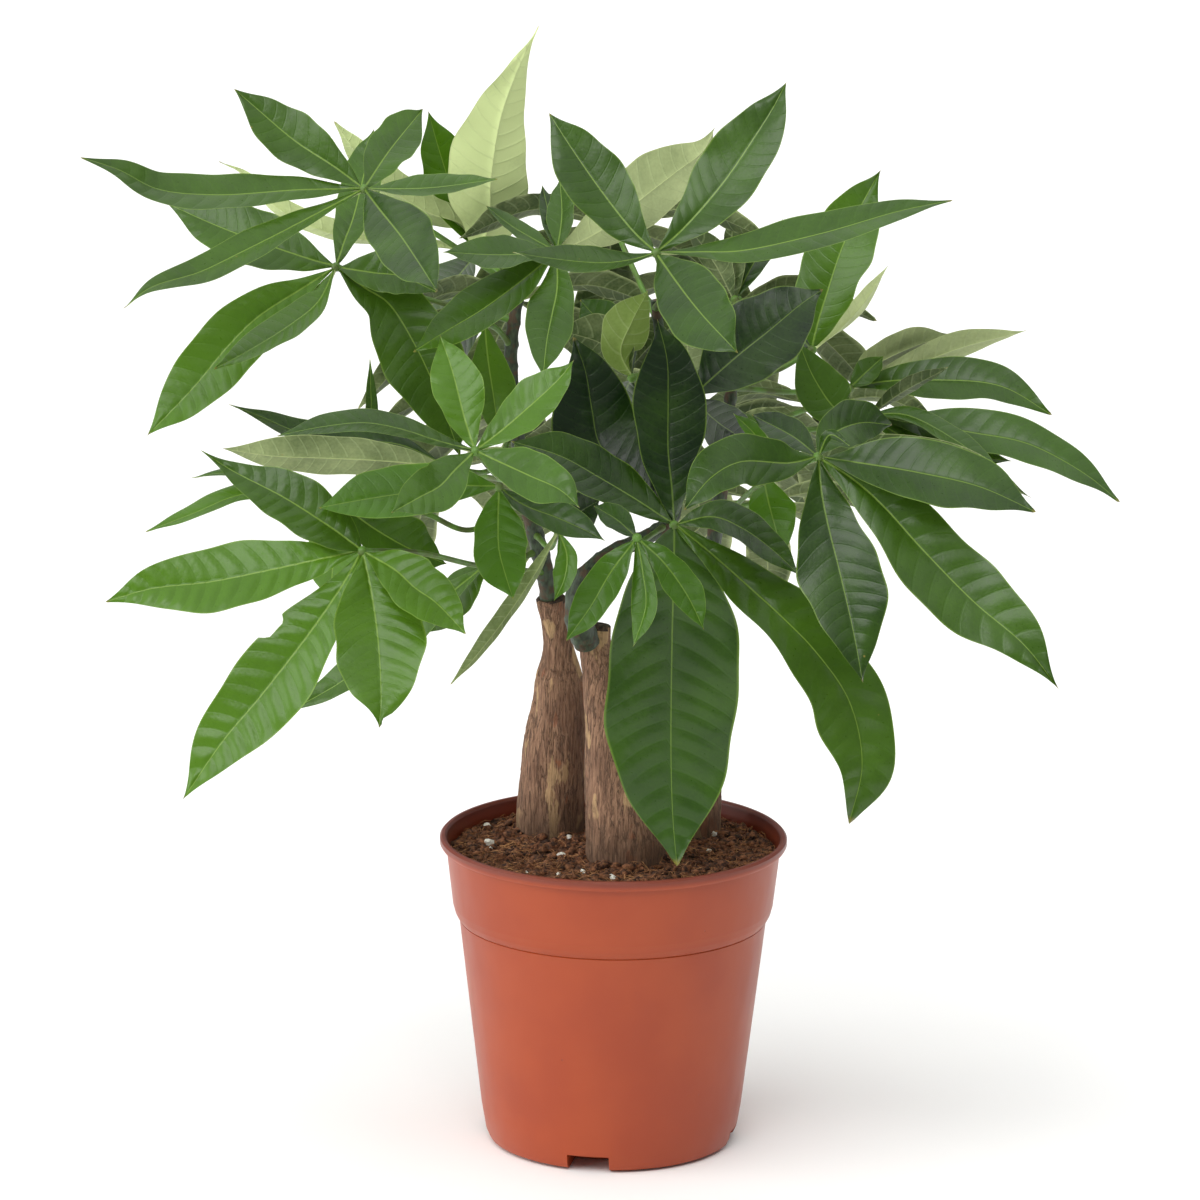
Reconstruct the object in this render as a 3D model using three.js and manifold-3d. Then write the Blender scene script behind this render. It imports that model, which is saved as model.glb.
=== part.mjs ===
// A money tree (Pachira) with three stems in a round plastic nursery pot, in millimetres, +Z up.
// The origin is the middle of the pot's flat underside.

import * as THREE from "three";
import { mergeVertices } from "three/addons/utils/BufferGeometryUtils.js";
import Module from "manifold-3d";

const wasm = await Module();
wasm.setup();

// Gap between pieces that touch on the real plant
const SEAT = 0.3;

// Edges shorter than this, left where blades are merged, are taken out
const SHORT_EDGE = 0.02;

// The pot: radius and height of each corner of its wall, from the middle of the underside outwards
const POT_HEIGHT = 154;
const POT_OUTSIDE = [
  [0, 0],
  [57.5, 0],
  [60.4, 1.4],
  [62, 5],
  [64.2, 18],
  [75.4, 112.5],
  [78, 117],
  [78.6, 120],
  [82, 149.2],
  [84.2, 149.2],
  [85, 150.4],
  [85, 153],
  [84, POT_HEIGHT],
  [82.6, POT_HEIGHT],
  [81.6, 152.8],
];
const POT_FLOOR = 2.2;
const POT_INSIDE = [
  [80.6, 148],
  [77.1, 119],
  [74, 112.8],
  [62.8, 18],
  [57, POT_FLOOR],
  [0, POT_FLOOR],
];
const POT_SEGMENTS = 36;

// Drain channels across the foot, open at the outside. Each has a drain hole in its roof.
// first is the direction of the first channel in degrees, and inner is where a channel begins.
const CHANNEL = { count: 4, first: -100.6, width: 20.6, height: 8.4, inner: 40, outer: 70, roof: 2 };
const DRAIN = { radius: 4, from: 49, sides: 12, length: 8 };

// The potting soil: its top, the drop at its edge, its radius there and its uneven top's two swells
const SOIL_TOP = 145;
const SOIL_EDGE_DROP = 1.5;
const SOIL_RADIUS = 79.7;
const SOIL_SEGMENTS = 24;
const SOIL_CROWN = [0.98, 0.66, 0.33, 0];
const soilSwell = (x, y) => 1.1 * Math.sin(0.16 * x + 1) * Math.cos(0.19 * y) + 0.7 * Math.sin(0.31 * (x - y));

// The viewpoint that the plant was sighted from. A sighted place is [u, v, depth]: u to the right and
// v down are its place in a square view of 1200 units, and depth is its real +Y place in millimetres.
const EYE = new THREE.Vector3(-7.5, -3065.2, 1024.9);
const EYE_PITCH = THREE.MathUtils.degToRad(13.8);
const EYE_ROLL = THREE.MathUtils.degToRad(0.45);
const EYE_FOCAL = 6500;
const VIEW_MIDDLE = 600;

// Trunks: sighted places of the axis with the radius there, the first one at the soil
const TRUNKS = {
  left: {
    foot: [-31, 35],
    axis: [[552, 790, 34, 16.4], [555, 745, 33, 15.8], [560, 705, 31, 13.8], [559, 678, 29, 11.4],
      [558, 650, 27, 7.6], [554, 622, 25, 6.8], [551, 598, 23, 7.4]],
    footRadius: 17,
  },
  middle: {
    foot: [6, -16],
    axis: [[622, 800, -15, 18], [617, 755, -14, 16], [611, 710, -13, 13.2], [603, 675, -12, 10.4],
      [595, 648, -11, 8], [597, 625, -10, 7]],
    footRadius: 19.6,
  },
  right: {
    foot: [38, 33],
    axis: [[692, 790, 33, 14.6], [695, 745, 31, 13], [698, 700, 29, 10], [700, 665, 27, 7.4],
      [701, 640, 25, 6.6]],
    footRadius: 15.4,
  },
};
const TRUNK_SIDES = 12;
const TRUNK_DEPTH = 62;
const TRUNK_COLLAR = 3;

// Green shoots that grow from the cut trunks: sighted places with the radius there
const SHOOTS = {
  left: [[551, 604, 23, 4.6], [545, 572, 18, 4.4], [532, 520, 12, 4], [521, 460, 8, 3.6],
    [513, 400, 5, 3.4], [511, 350, 2, 3.2], [516, 310, 0, 2.8], [522, 282, 0, 2.2]],
  middle: [[587, 643, -17, 6.4], [579, 620, -24, 6.6], [580, 585, -24, 5], [608, 556, -18, 4.2], [645, 538, -8, 3.8],
    [670, 520, 0, 3.6], [678, 480, 6, 3.2], [672, 420, 8, 3], [662, 350, 8, 2.6], [655, 300, 6, 2.2]],
  right: [[701, 645, 25, 4.4], [706, 600, 24, 4.2], [714, 540, 22, 3.8], [722, 480, 20, 3.4],
    [728, 415, 18, 3], [738, 352, 15, 2.4]],
};
const SHOOT_SIDES = 7;

// Blades: thickness, how far the margins rise from the midrib, how far they wave, and the length of
// a facet. Unless its plan says otherwise, a blade is broadest at BLADE_BROADEST of its length, and the
// outline's two powers add up to BLADE_ENDS: the less, the blunter.
const BLADE_THICK = 0.8;
const BLADE_FOLD = 0.16;
const BLADE_WAVE = 0.035;
const BLADE_STEP = 34;
const BLADE_STEPS = [3, 6];
const BLADE_BROADEST = 0.53;
const BLADE_ENDS = 2.25;
const BLADE_FOOT = 0.01;
const BLADE_LEAST = 0.5;

// Leaf stalks and the knobs that the leaflets meet in
const STALK_SIDES = 5;
const STALK_STEPS = 4;
const STALK_RADIUS = 1.35;
const STALK_FOOT = 2.1;
const KNOB_RADIUS = 2.7;

// Each frond: the sighted place of its hub, the shoot and the share of its length that the stalk
// leaves it at, the places that the stalk passes, and its leaflets.
// A leaflet: sighted place of its tip, how much deeper than the hub the tip lies, the blade's width
// as seen, its turn about its midrib in degrees, and the places that the midrib passes.
const top = (tip, deeper, seen, turn, ...rib) => ({ tip, deeper, seen, turn, rib, under: false });
const underside = (...values) => ({ ...top(...values), under: true });
const broadAt = (broadest, leaflet) => ({ ...leaflet, broadest });
const blunt = (ends, leaflet) => ({ ...leaflet, ends });
const FRONDS = {
  a: {
    hub: [364, 189, -40], shoot: "left", at: 0.97, via: [[445, 240, -25]],
    leaflets: [
      top([234, 89], 15, 24, 20, [336, 168], [295, 141], [256, 108]),
      top([80, 157], -25, 17, 50, [300, 190], [215, 195], [157, 189], [119, 170]),
      top([123, 309], -70, 14, 50, [320, 212], [280, 233], [240, 253], [200, 272], [150, 288]),
      top([437, 291], -95, 30, 10, [380, 210], [400, 235], [415, 257]),
      top([498, 179], -20, 10, 62, [430, 188]),
      top([423, 109], 50, 22, 35, [375, 172], [390, 150]),
    ],
  },
  b: {
    hub: [336, 267, 5], shoot: "left", at: 0.88, via: [[430, 300, 5]],
    leaflets: [
      top([168, 204], 20, 29, 30, [300, 256], [240, 235], [210, 223]),
      broadAt(0.57, top([147, 436], -50, 30, 15, [301, 289], [258, 317], [229, 345], [193, 388])),
      top([214, 369], -70, 15, 55, [318, 302], [290, 325], [250, 350]),
      top([437, 292], -20, 20, 30, [375, 273], [400, 276]),
      top([374, 129], 55, 20, 30, [345, 240], [352, 222], [358, 200]),
      top([461, 458], -35, 38, 15, [365, 288], [388, 303], [415, 345], [438, 395]),
    ],
  },
  c: {
    hub: [478, 252, 70], shoot: "left", at: 0.99, via: [[503, 275, 40]],
    leaflets: [
      broadAt(0.3, underside([539, 25], -30, 38, 25, [488, 225], [490, 180], [500, 118], [518, 68])),
      top([428, 111], 10, 25, 30, [466, 228], [455, 200], [439, 150]),
      underside([334, 121], -10, 17, 50, [465, 225], [430, 212], [405, 198], [375, 175]),
      underside([218, 161], 0, 10, 60, [440, 245], [380, 240], [327, 231], [275, 205], [243, 173]),
      top([400, 330], 80, 30, 30, [450, 285]),
    ],
  },
  d: {
    hub: [557, 252, -60], shoot: "left", at: 0.94, via: [[536, 275, -35]],
    leaflets: [
      top([442, 252], -30, 15, 55, [500, 255]),
      top([486, 206], 15, 8, 58, [535, 240], [510, 225]),
      top([560, 179], 30, 13, 40, [562, 215]),
      top([542, 185], 40, 9, 30, [549, 215]),
      top([413, 352], -45, 22, 45, [520, 282], [480, 311], [450, 329]),
      top([543, 378], -60, 22, 25, [557, 290], [552, 315], [547, 340]),
      underside([715, 127], 60, 29, 30, [600, 230], [645, 195], [675, 172], [703, 150]),
    ],
  },
  e: {
    hub: [735, 300, 60], shoot: "right", at: 0.97, via: [[738, 325, 35]],
    leaflets: [
      top([783, 219], 25, 14, 40, [750, 270], [765, 245]),
      underside([733, 212], 10, 12, 40, [733, 260]),
      underside([686, 222], 20, 14, 45, [715, 262]),
      top([672, 334], 45, 26, 20, [702, 318]),
    ],
  },
  f: {
    hub: [656, 253, -110], shoot: "middle", at: 0.98, via: [[665, 285, -50]],
    leaflets: [
      top([549, 113], 30, 29, 15, [633, 231], [602, 192], [568, 143]),
      top([512, 252], -35, 12, 60, [630, 260], [600, 263], [540, 257]),
      top([787, 81], 40, 30, 15, [683, 229], [723, 183], [754, 138], [773, 108]),
      top([953, 200], -10, 16.5, 50, [700, 252], [740, 251], [820, 234], [900, 211]),
      top([738, 353], -75, 32, 10, [675, 280], [690, 300], [705, 318]),
    ],
  },
  g: {
    hub: [475, 451, -165], shoot: "left", at: 0.5, via: [[503, 478, -80]],
    leaflets: [
      top([440, 335], 30, 23, 15, [465, 420], [452, 370]),
      top([574, 360], 25, 20, 30, [500, 432], [520, 415], [560, 378]),
      top([276, 436], -15, 11, 60, [438, 441], [400, 429], [365, 423], [322, 427]),
      top([391, 513], -50, 22, 25, [455, 470], [440, 486], [420, 497]),
      top([580, 508], -35, 22, 30, [495, 460], [530, 476], [560, 490]),
    ],
  },
  h: {
    hub: [812, 350, 40], shoot: "right", at: 0.93, via: [[772, 372, 28]],
    leaflets: [
      broadAt(0.48, top([881, 170], 20, 33, 20, [816, 330], [828, 290], [842, 248], [862, 204])),
      underside([888, 265], 30, 7, 55, [842, 325], [864, 301]),
      top([770, 300], 60, 25, 20, [790, 325]),
    ],
  },
  j: {
    hub: [674, 525, -70], shoot: "middle", at: 0.56, via: [[672, 522, -35]],
    leaflets: [
      top([657, 318], 30, 34, 15, [672, 490], [668, 450], [668, 400], [667, 360]),
      top([573, 337], 40, 42, 20, [645, 495], [600, 445], [592, 410], [585, 370]),
      top([511, 441], -10, 24, 40, [640, 502], [600, 478], [560, 456]),
      top([798, 574], -30, 17, 45, [713, 517], [745, 530], [775, 552]),
      blunt(1.5, broadAt(0.62, top([849, 824], -60, 34, 25, [703, 547], [750, 588], [785, 620], [815, 651],
        [849, 701], [862, 764]))),
      blunt(1.6, broadAt(0.47, top([677, 866], -15, 64, 8, [674, 560], [672, 640], [671, 760], [673, 820]))),
    ],
  },
  k: {
    hub: [632, 378, -10], shoot: "middle", at: 0.82, via: [[650, 372, 0]],
    leaflets: [
      underside([648, 290], 0, 22, 25, [620, 352], [632, 320]),
      underside([560, 330], 10, 25, 30, [605, 345]),
      top([580, 300], 60, 26, 20, [610, 335]),
      top([600, 440], 60, 26, 20, [615, 410]),
    ],
  },
  l: {
    hub: [691, 398, -30], shoot: "middle", at: 0.78, via: [[681, 403, -12]],
    leaflets: [
      top([823, 289], 15, 39, 22, [708, 382], [740, 354], [770, 330], [800, 305]),
      underside([684, 320], 32, 22, 34, [690, 372], [688, 346]),
      top([752, 444], 46, 22, 25, [720, 424]),
    ],
  },
  m: {
    hub: [818, 457, -110], shoot: "right", at: 0.4, via: [[755, 488, -40], [790, 470, -80]],
    leaflets: [
      top([684, 510], -40, 25, 30, [790, 463], [740, 462], [712, 477]),
      top([1036, 512], -20, 30, 35, [860, 463], [920, 473], [980, 487]),
      broadAt(0.5, top([1059, 690], -45, 36, 20, [855, 481], [883, 506], [922, 549], [974, 602], [1025, 646])),
      top([863, 683], -50, 37, 10, [822, 495], [828, 525], [838, 565], [853, 630]),
      top([892, 425], 45, 22, 30, [832, 435], [860, 423]),
      top([752, 415], 40, 15, 40, [795, 438]),
      top([850, 446], -15, 5, 30, [830, 435]),
    ],
  },
  n: {
    hub: [637, 538, -105], shoot: "middle", at: 0.42, via: [[625, 552, -60]],
    leaflets: [
      top([566, 641], -15, 18, 25, [611, 572], [591, 606]),
      top([633, 647], -20, 12, 35, [643, 572], [646, 605]),
      top([704, 630], -15, 16, 25, [663, 562], [687, 595]),
      top([594, 506], 20, 12, 40, [617, 520]),
    ],
  },
  p: {
    hub: [499, 487, -130], shoot: "left", at: 0.42, via: [[518, 508, -90]],
    leaflets: [
      top([318, 508], -20, 25, 40, [460, 486], [400, 494], [350, 502]),
      top([513, 599], -10, 26, 15, [498, 520], [499, 550], [507, 580]),
      top([606, 541], -15, 15, 40, [512, 498], [528, 507], [555, 517], [580, 528]),
    ],
  },
  q: {
    hub: [558, 530, -60], shoot: "left", at: 0.22, via: [[550, 548, -20]],
    leaflets: [
      top([554, 601], -10, 11, 30, [567, 555], [564, 580]),
      underside([450, 685], -30, 8, 50, [538, 566], [508, 612], [478, 652]),
      top([600, 500], 30, 18, 30, [580, 512]),
    ],
  },
  s: {
    hub: [362, 551, -150], shoot: "left", at: 0.1, via: [[480, 566, -40], [420, 553, -100]],
    leaflets: [
      broadAt(0.37, top([200, 450], 15, 25, 25, [340, 534], [321, 521], [283, 497], [231, 470])),
      top([105, 602], -20, 30, 25, [330, 557], [270, 570], [210, 582], [150, 589]),
      top([182, 801], -45, 35, 15, [343, 584], [314, 627], [260, 697], [223, 741]),
      top([379, 728], -50, 42, 8, [370, 585], [378, 640], [381, 700]),
      top([466, 634], -35, 25, 25, [395, 570], [415, 588], [435, 602]),
    ],
  },
  t: {
    hub: [345, 508, -40], shoot: "left", at: 0.34, via: [[470, 530, -5], [420, 512, -20]],
    leaflets: [
      top([145, 532], -10, 9, 60, [290, 492], [240, 495], [192, 514]),
      top([190, 478], 10, 5, 65, [280, 480], [225, 473]),
      top([330, 600], 30, 26, 20, [335, 550]),
      top([447, 564], 20, 27, 20, [378, 531], [412, 550]),
    ],
  },
  u: {
    hub: [490, 562, -10], shoot: "left", at: 0.17, via: [[515, 560, 5]],
    leaflets: [
      top([286, 713], 10, 18, 35, [440, 602], [395, 642], [338, 684]),
      top([424, 634], 25, 20, 25, [470, 580], [450, 604]),
    ],
  },
  v: {
    hub: [450, 468, -70], shoot: "left", at: 0.56, via: [[490, 470, -30]],
    leaflets: [
      underside([222, 448], -5, 19, 40, [420, 463], [370, 459], [320, 457], [270, 455]),
      top([228, 404], 10, 12, 50, [400, 445], [340, 440], [295, 431], [262, 417]),
      top([370, 358], 20, 7, 30, [400, 455], [373, 430], [371, 400]),
    ],
  },
  w: {
    hub: [484, 322, -25], shoot: "left", at: 0.8, via: [[498, 330, -10]],
    leaflets: [
      top([500, 443], -25, 20, 20, [488, 360], [494, 400]),
      top([420, 380], 60, 26, 25, [450, 345]),
    ],
  },
  x: {
    hub: [762, 470, -30], shoot: "right", at: 0.62, via: [[742, 470, -15]],
    leaflets: [
      top([784, 556], -15, 22, 15, [768, 500], [776, 530]),
      top([733, 413], 0, 8, 40, [758, 440]),
      underside([1032, 498], 10, 20, 30, [860, 456], [930, 460], [985, 474]),
    ],
  },
  y: {
    hub: [850, 388, 60], shoot: "right", at: 0.88, via: [[790, 392, 38]],
    leaflets: [
      underside([950, 334], 10, 17, 45, [872, 366], [910, 347]),
      underside([1027, 330], -10, 13, 50, [900, 370], [960, 347]),
      top([1052, 415], -25, 21, 35, [880, 382], [925, 380], [1000, 386]),
      top([884, 356], -15, 12, 20, [862, 376]),
    ],
  },
  z: {
    hub: [868, 415, 15], shoot: "right", at: 0.8, via: [[800, 430, 15]],
    leaflets: [
      top([1120, 502], -30, 21, 40, [919, 424], [974, 433], [1028, 444], [1085, 474]),
      top([1004, 478], -35, 10, 58, [905, 415], [955, 440]),
      top([1013, 461], -15, 17, 35, [905, 438], [960, 455]),
      underside([948, 367], 10, 8, 55, [900, 392]),
      broadAt(0.5, top([799, 343], 5, 24, 20, [840, 412], [815, 380])),
    ],
  },
};

// Fronds of the side that the sighting doesn't reach: sighted place of the hub, shoot, share of its
// length, compass direction that the frond faces in degrees, and the longest leaflet's length
const BACK_FRONDS = {
  back_1: { hub: [515, 300, 90], shoot: "left", at: 0.84, facing: 108, long: 96 },
  back_2: { hub: [612, 222, 80], shoot: "middle", at: 0.94, facing: 92, long: 104 },
  back_3: { hub: [738, 300, 106], shoot: "right", at: 0.9, facing: 82, long: 98 },
  back_4: { hub: [818, 405, 95], shoot: "right", at: 0.7, facing: 84, long: 86 },
  back_5: { hub: [540, 400, 130], shoot: "left", at: 0.6, facing: 98, long: 116 },
  back_6: { hub: [690, 430, 135], shoot: "middle", at: 0.7, facing: 84, long: 116 },
  back_7: { hub: [440, 470, 95], shoot: "left", at: 0.38, facing: 108, long: 76 },
  back_8: { hub: [765, 500, 90], shoot: "right", at: 0.45, facing: 86, long: 80 },
};
const BACK_TILT = 48;
const BACK_DROOP = 0.3;
const BACK_ARCH = 0.07;
const BACK_SPREAD = [0, 55, -55, 112, -112];
const BACK_SHORTER = 0.0019;
const BACK_SLENDER = 0.3;

// Room that blades and stalks keep from each other along the line of sight. It is tested in square
// cells of the view, CELL units wide. HUB_EASE is how readily a whole frond gives way.
const ROOM = 2.6;
const ROOM_IN_FROND = 1.4;
const CELL = 6;
const CELL_ROW = 4096;
const SWEEPS = 160;
const HUB_EASE = 0.6;
const PAIR_ROW = 1000;
const SIDES_TESTED = [-1, -0.75, -0.5, -0.25, 0, 0.25, 0.5, 0.75, 1];

// The directions of the view in the object's own frame
const AHEAD = new THREE.Vector3(0, Math.cos(EYE_PITCH), -Math.sin(EYE_PITCH));
const LEVEL_UP = new THREE.Vector3(0, Math.sin(EYE_PITCH), Math.cos(EYE_PITCH));
const VIEW_RIGHT = new THREE.Vector3(1, 0, 0).applyAxisAngle(AHEAD, -EYE_ROLL);
const VIEW_UP = LEVEL_UP.clone().applyAxisAngle(AHEAD, -EYE_ROLL);

// The real place of a sighted one
function sight([u, v, depth]) {
  const ray = AHEAD.clone()
    .addScaledVector(VIEW_RIGHT, (u - VIEW_MIDDLE) / EYE_FOCAL)
    .addScaledVector(VIEW_UP, (VIEW_MIDDLE - v) / EYE_FOCAL);
  return EYE.clone().addScaledVector(ray, (depth - EYE.y) / ray.y);
}

// The sighted place of a real one
function project(point) {
  const from = point.clone().sub(EYE);
  const scale = EYE_FOCAL / from.dot(AHEAD);
  return [VIEW_MIDDLE + scale * from.dot(VIEW_RIGHT), VIEW_MIDDLE - scale * from.dot(VIEW_UP), point.y];
}

function solidOf(positions, triangles) {
  const build = (triVerts) =>
    new wasm.Manifold(new wasm.Mesh({ numProp: 3, vertProperties: positions, triVerts }));
  const solid = build(triangles);
  return solid.volume() > 0 ? solid : build(triangles.map((value, i) => triangles[i + [0, 1, -1][i % 3]]));
}

function solidOfGeometry(geometry) {
  const bare = geometry.clone();
  bare.deleteAttribute("normal");
  bare.deleteAttribute("uv");
  const merged = mergeVertices(bare, 1e-4);
  return solidOf(new Float32Array(merged.attributes.position.array), new Uint32Array(merged.index.array));
}

// The largest body of a solid, without the scraps that a cut leaves
function largest(solid) {
  return solid.decompose().sort((a, b) => b.volume() - a.volume())[0];
}

function geometryOfSolid(solid) {
  const mesh = solid.getMesh();
  const geometry = new THREE.BufferGeometry();
  geometry.setAttribute("position", new THREE.BufferAttribute(mesh.vertProperties, 3));
  geometry.setIndex(new THREE.BufferAttribute(mesh.triVerts, 1));
  geometry.computeVertexNormals();
  return geometry;
}

// A closed skin over rings of points, with the first and last ring closed by the cap's triangles. The
// squares of the ring's second half are split the other way, so that a blade's two faces are alike.
function loft(rings, cap) {
  const sides = rings[0].length;
  const positions = new Float32Array(rings.flat().flatMap((point) => point.toArray()));
  const triangles = [];
  for (let i = 0; i + 1 < rings.length; i++)
    for (let j = 0; j < sides; j++) {
      const a = i * sides + j;
      const b = i * sides + ((j + 1) % sides);
      if (j < sides / 2) triangles.push(a, b, a + sides, b, b + sides, a + sides);
      else triangles.push(a, b, b + sides, a, b + sides, a + sides);
    }
  const last = (rings.length - 1) * sides;
  for (const [a, b, c] of cap) {
    triangles.push(a, c, b);
    triangles.push(last + a, last + b, last + c);
  }
  return solidOf(positions, new Uint32Array(triangles));
}

const fanCap = (sides) => Array.from({ length: sides - 2 }, (_, i) => [0, i + 1, i + 2]);
const BLADE_CAP = [[0, 1, 4], [0, 4, 5], [1, 2, 3], [1, 3, 4]];

// A round stem through the places, with a radius at each. swell widens it all round.
function stem(places, radii, sides, swell = 0) {
  let side = new THREE.Vector3(1, 0, 0);
  const rings = places.map((place, i) => {
    const before = places[Math.max(i - 1, 0)];
    const after = places[Math.min(i + 1, places.length - 1)];
    const along = after.clone().sub(before).normalize();
    side = side.clone().addScaledVector(along, -side.dot(along)).normalize();
    const other = along.clone().cross(side);
    return Array.from({ length: sides }, (_, j) => {
      const turn = (2 * Math.PI * (j + 0.5)) / sides;
      return place.clone()
        .addScaledVector(side, (radii[i] + swell) * Math.cos(turn))
        .addScaledVector(other, (radii[i] + swell) * Math.sin(turn));
    });
  });
  return loft(rings, fanCap(sides));
}

// The smooth line through sighted places, as a curve in the view's own units
function sightLine(places) {
  return new THREE.CatmullRomCurve3(places.map(([u, v, depth]) => new THREE.Vector3(u, v, depth)));
}

// Half of a leaflet's width at a share of its length, as a share of its greatest half width
function outline(share, broadest, ends) {
  const shape = (x) => Math.pow(x, ends * broadest) * Math.pow(1 - x, ends * (1 - broadest));
  return shape(share) / shape(broadest);
}

// A leaflet, seen as a strip of the view whose depth can be eased
class Leaflet {
  constructor(frond, index, { tip, rib, ...plan }) {
    Object.assign(this, { broadest: BLADE_BROADEST, ends: BLADE_ENDS, ...plan, frond, index });
    const flat = [frond.hub, ...rib, tip].map(([u, v]) => [u, v, 0]);
    this.line = sightLine(flat);
    this.belly = 0;
    this.lift = 0;
    this.tanTurn = Math.tan(THREE.MathUtils.degToRad(this.turn));
    const [hubU, hubV] = frond.hub;
    this.lean = (tip[0] > hubU ? -1 : 1) * (this.under ? -1 : 1);
    this.phase = 2.4 * index + hubU * 0.1 + hubV * 0.07;
  }

  weights(share) {
    return [1, 4 * share * (1 - share), share * share];
  }

  moved(share) {
    const [hub, belly, lift] = this.weights(share);
    return hub * this.frond.shift + belly * this.belly + lift * this.lift;
  }

  rib(share) {
    const { x, y } = this.line.getPointAt(share);
    return sight([x, y, this.frond.hub[2] + this.deeper * share + this.moved(share)]);
  }

  // The point of the blade at a share of its length and a side from -1 to 1, with the way its top faces
  point(share, side) {
    const here = this.rib(share);
    const step = 0.02;
    const along = this.rib(Math.min(share + step, 1)).sub(this.rib(Math.max(share - step, 0))).normalize();
    const ahead = here.clone().sub(EYE).normalize();
    const half = Math.max((this.seen / 2) * outline(share, this.broadest, this.ends), BLADE_LEAST);
    let wide;
    if (this.normal) wide = along.clone().cross(this.normal).normalize().multiplyScalar(half);
    else {
      const flat = along.clone().addScaledVector(ahead, -along.dot(ahead)).normalize();
      wide = flat.cross(ahead).addScaledVector(ahead, -this.lean * this.tanTurn).multiplyScalar(half);
    }
    const face = wide.clone().cross(along).normalize();
    if (this.normal ? face.dot(this.normal) < 0 : (face.dot(ahead) > 0) !== this.under) face.negate();
    const wave = BLADE_WAVE * this.seen * Math.sin(9 * share + this.phase + 1.3 * side);
    const raise = Math.abs(side) * (BLADE_FOLD * wide.length() + wave);
    return { at: here.addScaledVector(wide, side).addScaledVector(face, raise), face };
  }

  samples() {
    const list = [];
    for (let share = 0.06; share <= 1; share += 0.02)
      for (const side of SIDES_TESTED) {
        const [u, v, depth] = project(this.point(share, side).at);
        list.push({ u, v, depth, share });
      }
    return list;
  }

  solid() {
    const length = this.rib(0).distanceTo(this.rib(1));
    const [fewest, most] = BLADE_STEPS;
    const steps = this.normal ? fewest : THREE.MathUtils.clamp(Math.round(length / BLADE_STEP) + 1, fewest, most);
    const rings = [];
    for (let i = 0; i <= steps; i++) {
      const share = i === 0 ? BLADE_FOOT : Math.pow(i / steps, 0.9);
      const [left, middle, right] = [-1, 0, 1].map((side) => this.point(share, side));
      const off = (p, sign) => p.at.clone().addScaledVector(p.face, (sign * BLADE_THICK) / 2);
      rings.push([off(left, 1), off(middle, 1), off(right, 1), off(right, -1), off(middle, -1), off(left, -1)]);
    }
    return loft(rings, BLADE_CAP);
  }
}

// A frond's stalk, from the middle of its shoot to the hub
class Stalk {
  constructor(frond, start, via) {
    this.frond = frond;
    this.line = sightLine([start, ...via, frond.hub]);
    this.belly = 0;
    this.lift = 0;
  }

  weights(share) {
    return [share, 4 * share * (1 - share), 0];
  }

  moved(share) {
    return share * this.frond.shift + 4 * share * (1 - share) * this.belly;
  }

  place(share) {
    const { x, y, z } = this.line.getPointAt(share);
    return sight([x, y, z + this.moved(share)]);
  }

  samples() {
    const list = [];
    for (let i = 0; i <= 60; i++) {
      const share = i / 60;
      const [u, v, depth] = project(this.place(share));
      for (const du of [-3, 0, 3]) list.push({ u: u + du, v, depth, share });
    }
    return list;
  }

  solid() {
    const shares = Array.from({ length: STALK_STEPS + 1 }, (_, i) => i / STALK_STEPS);
    const radii = shares.map((share) => STALK_RADIUS + (STALK_FOOT - STALK_RADIUS) * Math.pow(1 - share, 4));
    return stem(shares.map((share) => this.place(share)), radii, STALK_SIDES);
  }
}

// A trunk or shoot, which stays where it is and only stands in the way
class Fixed {
  constructor(name, places) {
    this.name = name;
    this.places = places;
    this.line = sightLine(places);
  }

  weights() {
    return [0, 0, 0];
  }

  moved() {
    return 0;
  }

  radius(share) {
    const t = share * (this.places.length - 1);
    const i = Math.min(Math.floor(t), this.places.length - 2);
    return THREE.MathUtils.lerp(this.places[i][3], this.places[i + 1][3], t - i);
  }

  samples() {
    const list = [];
    for (let i = 0; i <= 120; i++) {
      const share = i / 120;
      const { x, y, z } = this.line.getPoint(share);
      const wide = this.radius(share);
      for (const side of [-1, -0.5, 0, 0.5, 1])
        for (const deep of [-1, 1])
          list.push({ u: x + side * wide * 2, v: y, depth: z + deep * wide, share });
    }
    return list;
  }
}

// Whether two strips may touch at these shares, because they meet there on the plant
function meet(a, shareA, b, shareB) {
  if (a instanceof Leaflet && b instanceof Leaflet) return a.frond === b.frond && Math.min(shareA, shareB) < 0.3;
  if (a instanceof Stalk && b instanceof Leaflet) return a.frond === b.frond && (shareA > 0.8 || shareB < 0.2);
  if (a instanceof Leaflet && b instanceof Stalk) return meet(b, shareB, a, shareA);
  if (a instanceof Stalk && b instanceof Stalk) return shareA < 0.12 && shareB < 0.12;
  if (a instanceof Fixed && b instanceof Fixed) return true;
  const stalk = a instanceof Stalk ? [a, shareA] : b instanceof Stalk ? [b, shareB] : null;
  const fixed = a instanceof Fixed ? a : b;
  return Boolean(stalk) && stalk[0].frond.shoot === fixed.name && stalk[1] < 0.25;
}

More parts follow.
